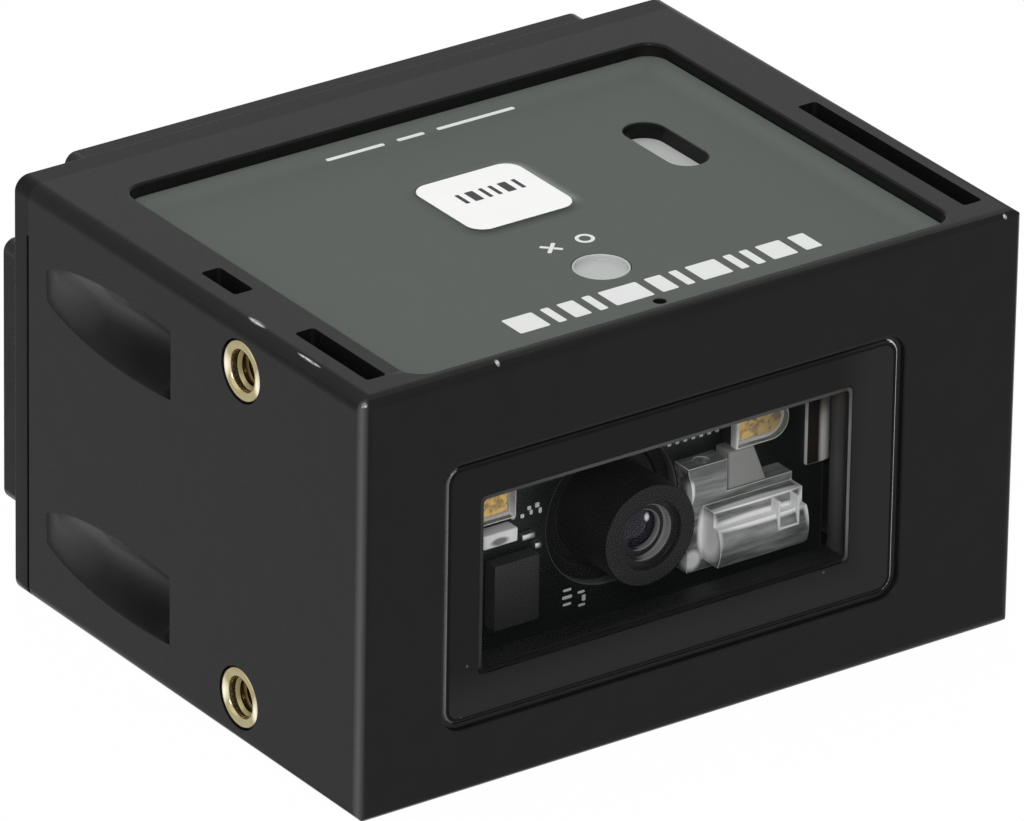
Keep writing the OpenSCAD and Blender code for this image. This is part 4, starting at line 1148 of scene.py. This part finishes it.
class READER_OT_key(bpy.types.Operator):
    """Push key with a printed bar sign, its switch and plunger"""

    bl_idname = "reader.key"
    bl_label = "Push key"

    def execute(self, context):
        mesh = merged_copy("scan_key")
        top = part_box("scan_key")[1].z
        upper = edges_where(mesh, lambda vert: vert.co.z > top - ON_PLANE)
        soften(mesh, upper, shapes().key_round, 4)
        add_piece(mesh, "key_cap", "key", "key_white", key_plastic, "scan_key")
        finished_node("switch_plunger", "switch_stem", 0.08 * MM, "switch_black", chip_black, "key")
        finished_node("push_switch", "switch_case", 0.1 * MM, "switch_black", chip_black)
        self.print_sign(top)
        self.raise_collar(top)
        return {"FINISHED"}

    def raise_collar(self, top):
        """The label film, bent up round the key."""
        low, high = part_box("scan_key")
        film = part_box("top_label")[1].z
        below_key = 0.02 * MM
        rise = top - film - below_key
        flange = 0.7 * MM
        width = high.x - low.x - 2 * flange
        depth = high.y - low.y - 2 * flange
        middle = Vector(((low.x + high.x) / 2, (low.y + high.y) / 2, 0.0))
        corner = 1.2 * MM
        foot, left_near, left_far = 0.2, 0.8, 0.15
        mesh = bmesh.new()
        # Layer that carries the painted shade of the collar
        bend = mesh.verts.layers.float.new("film_bend")

        def shape_ring(verts, out, height, share):
            """Moves a ring of points out from the key and up, and notes there the painted shade of the
            film: lighter at the right, darker at the front and on the left.
            """
            for vert in verts:
                place = vert.co - middle
                core_x = max(corner - width / 2, min(width / 2 - corner, place.x))
                core_y = max(corner - depth / 2, min(depth / 2 - corner, place.y))
                way = Vector((place.x - core_x, place.y - core_y, 0.0)).normalized()
                core = middle + Vector((core_x, core_y, film + height * rise))
                vert.co = core + way * (corner + out * MM)
                left = max(0.0, -way.x) * (left_near if out < foot else left_far)
                # Painted shade: positive lightens the film at the right, negative darkens it at the front
                # and on the left
                vert[bend] = share * (max(0.0, way.x) - max(0.0, -way.y) - left)

        gap = 0.03
        edges = rounded_loop(mesh, middle, width, depth, corner, 8, 0.0)
        shape_ring(mesh.verts, gap, 0.0, 1.0)
        rings = (
            (gap, 1.0, 1.0), (0.1, 1.0, 1.0), (0.26, 0.65, 0.75),
            (0.45, 0.25, 0.3), (0.75, 0.0, 0.0), (gap, 0.0, 1.0))
        for out, height, share in rings:
            made = bmesh.ops.extrude_edge_only(mesh, edges=edges)["geom"]
            verts = {item for item in made if isinstance(item, bmesh.types.BMVert)}
            edges = [item for item in made
                     if isinstance(item, bmesh.types.BMEdge) and verts.issuperset(item.verts)]
            shape_ring(verts, out, height, share)
        close_up(mesh)
        add_piece(mesh, "key_collar", "reader", "label_film", label_bent)

    def print_sign(self, top):
        """Six dark strokes on the key cap."""
        low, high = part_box("scan_key")
        middle = (low.x + high.x) / 2
        along = (low.y + high.y) / 2 + 0.65 * MM
        narrow, wide, gap = 0.28, 0.62, 0.42
        place, shift = -2.3, 0.25
        depth, corner = 1.35 * MM, 0.06 * MM
        mesh = bmesh.new()
        for width in (narrow, wide, narrow, narrow, wide, narrow):
            across = middle + (place + width / 2 + shift) * MM
            printed_bar(mesh, top, (across, along), (width * MM, depth), corner)
            place += width + gap
        add_piece(mesh, "key_sign", "key", "switch_black", ink_dark)


class READER_OT_lens(bpy.types.Operator):
    """Lens barrel, holder, glass and image sensor"""

    bl_idname = "reader.lens"
    bl_label = "Lens"

    def execute(self, context):
        finished_node("lens_holder", "lens_ring", 0.1 * MM, "lens_black", satin_black)
        finished_node("lens_barrel", "lens_tube", 0.08 * MM, "lens_black", satin_black)
        finished_node("front_lens", "front_glass", 0.0, "lens_glass", coated_glass)
        finished_node("rear_lens", "rear_glass", 0.05 * MM, "lens_glass", coated_glass)
        finished_node("lens_spacer", "glass_spacer", 0.05 * MM, "lens_black", satin_black)
        finished_node("lens_retainer", "glass_retainer", 0.05 * MM, "lens_black", satin_black)
        finished_node("image_sensor", "sensor_chip", 0.06 * MM, "sensor_dark", sensor_glass)
        return {"FINISHED"}


class READER_OT_lights(bpy.types.Operator):
    """Aimer, its diode and the two lights"""

    bl_idname = "reader.lights"
    bl_label = "Aimer and lights"

    def execute(self, context):
        diode_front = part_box("aimer_diode")[0].y
        # Top faces of the aimer in front of the diode take the painted highlight white
        trimmed_node("aimer_lens", "aimer_block", 0.1 * MM, "clear_plastic", aimer_plastic, lit_edge,
                     lambda face: face.normal.z > 0.9 and face.calc_center_median().y < diode_front - MM)
        self.add_ribs()
        finished_node("aimer_diode", "aimer_post", 0.15 * MM, "lamp_frosted", milky_plastic)
        low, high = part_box("lens_barrel")
        middle = (low.x + high.x) / 2

        def faces_lens(face):
            away = face.calc_center_median().x - middle
            return face.normal.x * away < -0.9 * abs(away)

        # Faces of the light domes that face the lens take the painted highlight white
        trimmed_node(
            "light_packages", "light_domes", 0.12 * MM, "clear_plastic", lamp_clear, lit_edge, faces_lens)
        finished_node("light_frames", "light_leads", 0.1 * MM, "frame_gold", lead_gold)
        finished_node("light_bases", "light_seats", 0.08 * MM, "switch_black", chip_black)
        finished_node("indicator_diode", "indicator_chip", 0.1 * MM, "connector_cream", cream_nylon)
        return {"FINISHED"}

    def add_ribs(self):
        """A thin rib in the form of a U on the front of the aimer, in the painted highlight white."""
        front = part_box("aimer_lens")[0].y
        depth = 0.8 * MM
        thick = 0.14
        ribs = ((8.8, 10.45, thick, 1.9), (10.25, 10.45, thick, 1.9), (9.525, 9.5, 1.59, thick))
        mesh = bmesh.new()
        for across, above, width, height in ribs:
            centre = Vector((across * MM, front + depth / 2, above * MM))
            tablet(mesh, centre, (width * MM, depth, height * MM), 0.03 * MM, 1)
        add_piece(mesh, "aimer_ribs", "reader", "clear_plastic", lit_edge)


class READER_OT_boards(bpy.types.Operator):
    """Boards with their parts, carrier, connectors and sounder"""

    bl_idname = "reader.boards"
    bl_label = "Boards and small parts"

    def execute(self, context):
        fine = 0.06 * MM
        finished_node("imager_board", "imager_sheet", fine, "board_green", solder_mask)
        trimmed_node("light_board", "light_sheet", fine, "board_green", solder_mask, cut_laminate,
                     lambda face: abs(face.normal.y) < 0.5)
        finished_node("decoder_board", "decoder_sheet", fine, "board_green", solder_mask)
        finished_node("interface_board", "interface_sheet", fine, "board_green", solder_mask)
        finished_node("imager_carrier", "imager_frame", 2 * fine, "housing_black", cover_black)
        finished_node("imager_screws", "imager_fasteners", fine, "screw_steel", plain_steel)
        finished_node("board_coil", "power_coil", 2 * fine, "chip_silver", coil_ends)
        finished_node("board_chips", "chip_parts", fine, "chip_silver", coil_silver)
        finished_node("imager_connector", "imager_socket", fine, "switch_black", socket_grey)
        # The upright faces of the flex strip take the painted highlight white
        trimmed_node("flex_cable", "flex_strip", 0.03 * MM, "flex_brown", amber_film, lit_edge,
                     lambda face: face.normal.x < -0.9 or (face.normal.x > 0.3 and face.normal.y < -0.2))
        finished_node("cable_connector", "cable_socket", 2 * fine, "connector_cream", cream_nylon)
        finished_node("link_connector", "link_socket", 2 * fine, "switch_black", chip_black)
        finished_node("sounder", "sounder_case", 2 * fine, "switch_black", chip_black)
        finished_node("processor", "processor_case", fine, "switch_black", chip_black)
        finished_node("memory_chip", "memory_case", fine, "switch_black", chip_black)
        self.place_pads()
        return {"FINISHED"}

    def place_pads(self):
        """Small bright pads and marks on the front of the light board."""
        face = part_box("light_board")[0].y
        pads = (
            (-7.01, 14.11, 0.3, 0.3), (-7.6, 14.06, 0.25, 0.25), (-7.45, 13.74, 0.2, 0.3),
            (-6.78, 13.69, 0.2, 0.35), (-8.11, 13.65, 0.25, 0.25), (-8.78, 13.74, 0.25, 0.25),
            (-8.73, 14.9, 0.2, 0.3), (-4.65, 7.66, 0.6, 0.15), (-4.65, 7.17, 0.7, 0.2),
            (-4.65, 6.69, 0.6, 0.15), (-3.6, 7.25, 0.5, 0.15), (-3.4, 6.8, 0.25, 0.4),
            (-3.55, 6.35, 0.5, 0.15),
        )
        pad_half, pin_half = 0.02 * MM, 0.03 * MM
        first, step, row = 2.8, 0.6, 15.65
        mesh = bmesh.new()
        for across, above, width, height in pads:
            centre = Vector((across * MM, face - pad_half, above * MM))
            tablet(mesh, centre, (width * MM, 2 * pad_half, height * MM), 0.06 * MM, 1, 3)
        for place in range(7):
            centre = Vector(((first + step * place) * MM, face - pin_half, row * MM))
            tablet(mesh, centre, (0.25 * MM, 2 * pin_half, 0.5 * MM), 0.05 * MM, 1, 3)
        add_piece(mesh, "board_pads", "reader", "chip_silver", ink_white)


class READER_OT_stage(bpy.types.Operator):
    """Pale floor, soft lamps, even surroundings and the camera"""

    bl_idname = "reader.stage"
    bl_label = "Stage"

    def execute(self, context):
        context.scene.view_settings.view_transform = "Standard"
        self.add_floor(context)
        self.add_surroundings(context)
        studio = context.scene.reader_studio
        self.add_lamp(context, "overhead_lamp", (-0.12, 0.05, 0.75), 0.7, studio.overhead)
        self.add_lamp(context, "side_lamp", (-0.7, 0.1, 0.35), 0.5, studio.side)
        self.add_lamp(context, "front_lamp", (-0.34, -0.5, 0.42), 0.12, studio.front)
        self.add_camera(context)
        return {"FINISHED"}

    def seen_mask(self, owner):
        """1 on rays from the camera, from gloss and through glass."""
        path = add_node(owner, "ShaderNodeLightPath").outputs
        plain = combine(owner, "MAXIMUM", path["Is Camera Ray"], path["Is Glossy Ray"])
        return combine(owner, "MAXIMUM", plain, path["Is Transmission Ray"])

    def mix_shaders(self, owner, share, first, second, output):
        """Takes a mix of two shaders to an output."""
        mix = add_node(owner, "ShaderNodeMixShader")
        join(owner, share, mix.inputs["Fac"])
        join(owner, first, mix.inputs[1])
        join(owner, second, mix.inputs[2])
        join(owner, mix.outputs["Shader"], owner.node_tree.nodes[output].inputs["Surface"])

    def add_floor(self, context):
        """A wide pale floor that keeps the shadow of the reader."""
        below = Matrix.Translation((0.0, 0.0, -0.02 * MM))
        glow_share = 0.985
        mesh = bmesh.new()
        bmesh.ops.create_grid(mesh, x_segments=8, y_segments=8, size=3.0, matrix=below)
        data = bpy.data.meshes.new("studio_floor")
        mesh.to_mesh(data)
        mesh.free()
        floor = bpy.data.objects.new("studio_floor", data)
        context.scene.collection.objects.link(floor)
        material = start_material(
            "floor_white", Base_Color=rgba(grey(0.92)), Roughness=0.8, Specular_IOR_Level=0.2)
        glow = add_node(material, "ShaderNodeEmission")
        glow.inputs["Strength"].default_value = 1.0
        share = combine(material, "MULTIPLY", self.seen_mask(material), glow_share)
        plain = material.node_tree.nodes["Principled BSDF"].outputs["BSDF"]
        self.mix_shaders(material, share, plain, glow.outputs["Emission"], "Material Output")
        data.materials.append(material)

    def add_surroundings(self, context):
        """Even white surroundings, seen as white and lighting at the ambient strength."""
        world = bpy.data.worlds.new("studio_world")
        world.use_nodes = True
        context.scene.world = world
        soft = world.node_tree.nodes["Background"]
        seen = add_node(world, "ShaderNodeBackground")
        for node, strength in ((soft, context.scene.reader_studio.ambient), (seen, 1.0)):
            node.inputs["Color"].default_value = rgba(grey(1.0))
            node.inputs["Strength"].default_value = strength
        self.mix_shaders(world, self.seen_mask(world), soft.outputs["Background"],
                         seen.outputs["Background"], "World Output")

    def add_lamp(self, context, name, place, size, power):
        """A square lamp that faces the reader."""
        data = bpy.data.lights.new(name, "AREA")
        data.shape = "SQUARE"
        data.size = size
        data.energy = power
        lamp = bpy.data.objects.new(name, data)
        context.scene.collection.objects.link(lamp)
        middle = Vector((0.0, 0.0, 0.014))
        turn = (middle - Vector(place)).to_track_quat("-Z", "Y")
        lamp.matrix_world = Matrix.Translation(place) @ turn.to_matrix().to_4x4()

    def add_camera(self, context):
        """The camera at the viewing angle of the photograph."""
        studio = context.scene.reader_studio
        turn, lift = studio.azimuth, studio.elevation
        back = Vector((math.sin(turn) * math.cos(lift), -math.cos(turn) * math.cos(lift), math.sin(lift)))
        level = Vector((math.cos(turn), math.sin(turn), 0.0))
        up = back.cross(level)
        right = math.cos(studio.roll) * level + math.sin(studio.roll) * up
        above = math.cos(studio.roll) * up - math.sin(studio.roll) * level
        place = Vector(studio.target) + studio.pan_right * right + studio.pan_up * above
        place += studio.distance * back
        data = bpy.data.cameras.new("photo_camera")
        data.sensor_fit = "HORIZONTAL"
        data.sensor_width = 36.0
        data.lens = studio.focal
        data.clip_start = 0.01
        data.clip_end = 20.0
        camera = bpy.data.objects.new("photo_camera", data)
        context.scene.collection.objects.link(camera)
        pose = Matrix((right, above, back)).transposed().to_4x4()
        camera.matrix_world = Matrix.Translation(place) @ pose
        context.scene.camera = camera


class READER_PT_panel(bpy.types.Panel):
    """Steps that finish the reader"""

    bl_idname = "READER_PT_panel"
    bl_label = "Barcode reader"
    bl_space_type = "VIEW_3D"
    bl_region_type = "UI"
    bl_category = "Reader"

    def draw(self, context):
        for operator in OPERATORS:
            self.layout.operator(operator.bl_idname)
        scene = context.scene
        for group in (scene.reader_shapes, scene.reader_colours, scene.reader_studio):
            box = self.layout.box()
            for name in group.__annotations__:
                box.prop(group, name)


OPERATORS = (
    READER_OT_housing, READER_OT_inserts, READER_OT_window, READER_OT_label, READER_OT_key,
    READER_OT_lens, READER_OT_lights, READER_OT_boards, READER_OT_stage,
)
GROUPS = (ReaderShapes, ReaderColours, ReaderStudio)


def register():
    """Registers the classes and puts the settings on the scene."""
    for entry in GROUPS + OPERATORS + (READER_PT_panel,):
        bpy.utils.register_class(entry)
    bpy.types.Scene.reader_shapes = PointerProperty(type=ReaderShapes)
    bpy.types.Scene.reader_colours = PointerProperty(type=ReaderColours)
    bpy.types.Scene.reader_studio = PointerProperty(type=ReaderStudio)


def unregister():
    """Removes the settings and the classes."""
    del bpy.types.Scene.reader_studio
    del bpy.types.Scene.reader_colours
    del bpy.types.Scene.reader_shapes
    for entry in reversed(GROUPS + OPERATORS + (READER_PT_panel,)):
        bpy.utils.unregister_class(entry)


def main():
    """Finishes the reader step by step."""
    register()
    for step in ("housing", "inserts", "window", "label", "key", "lens", "lights", "boards", "stage"):
        getattr(bpy.ops.reader, step)()


if __name__ == "__main__":
    main()
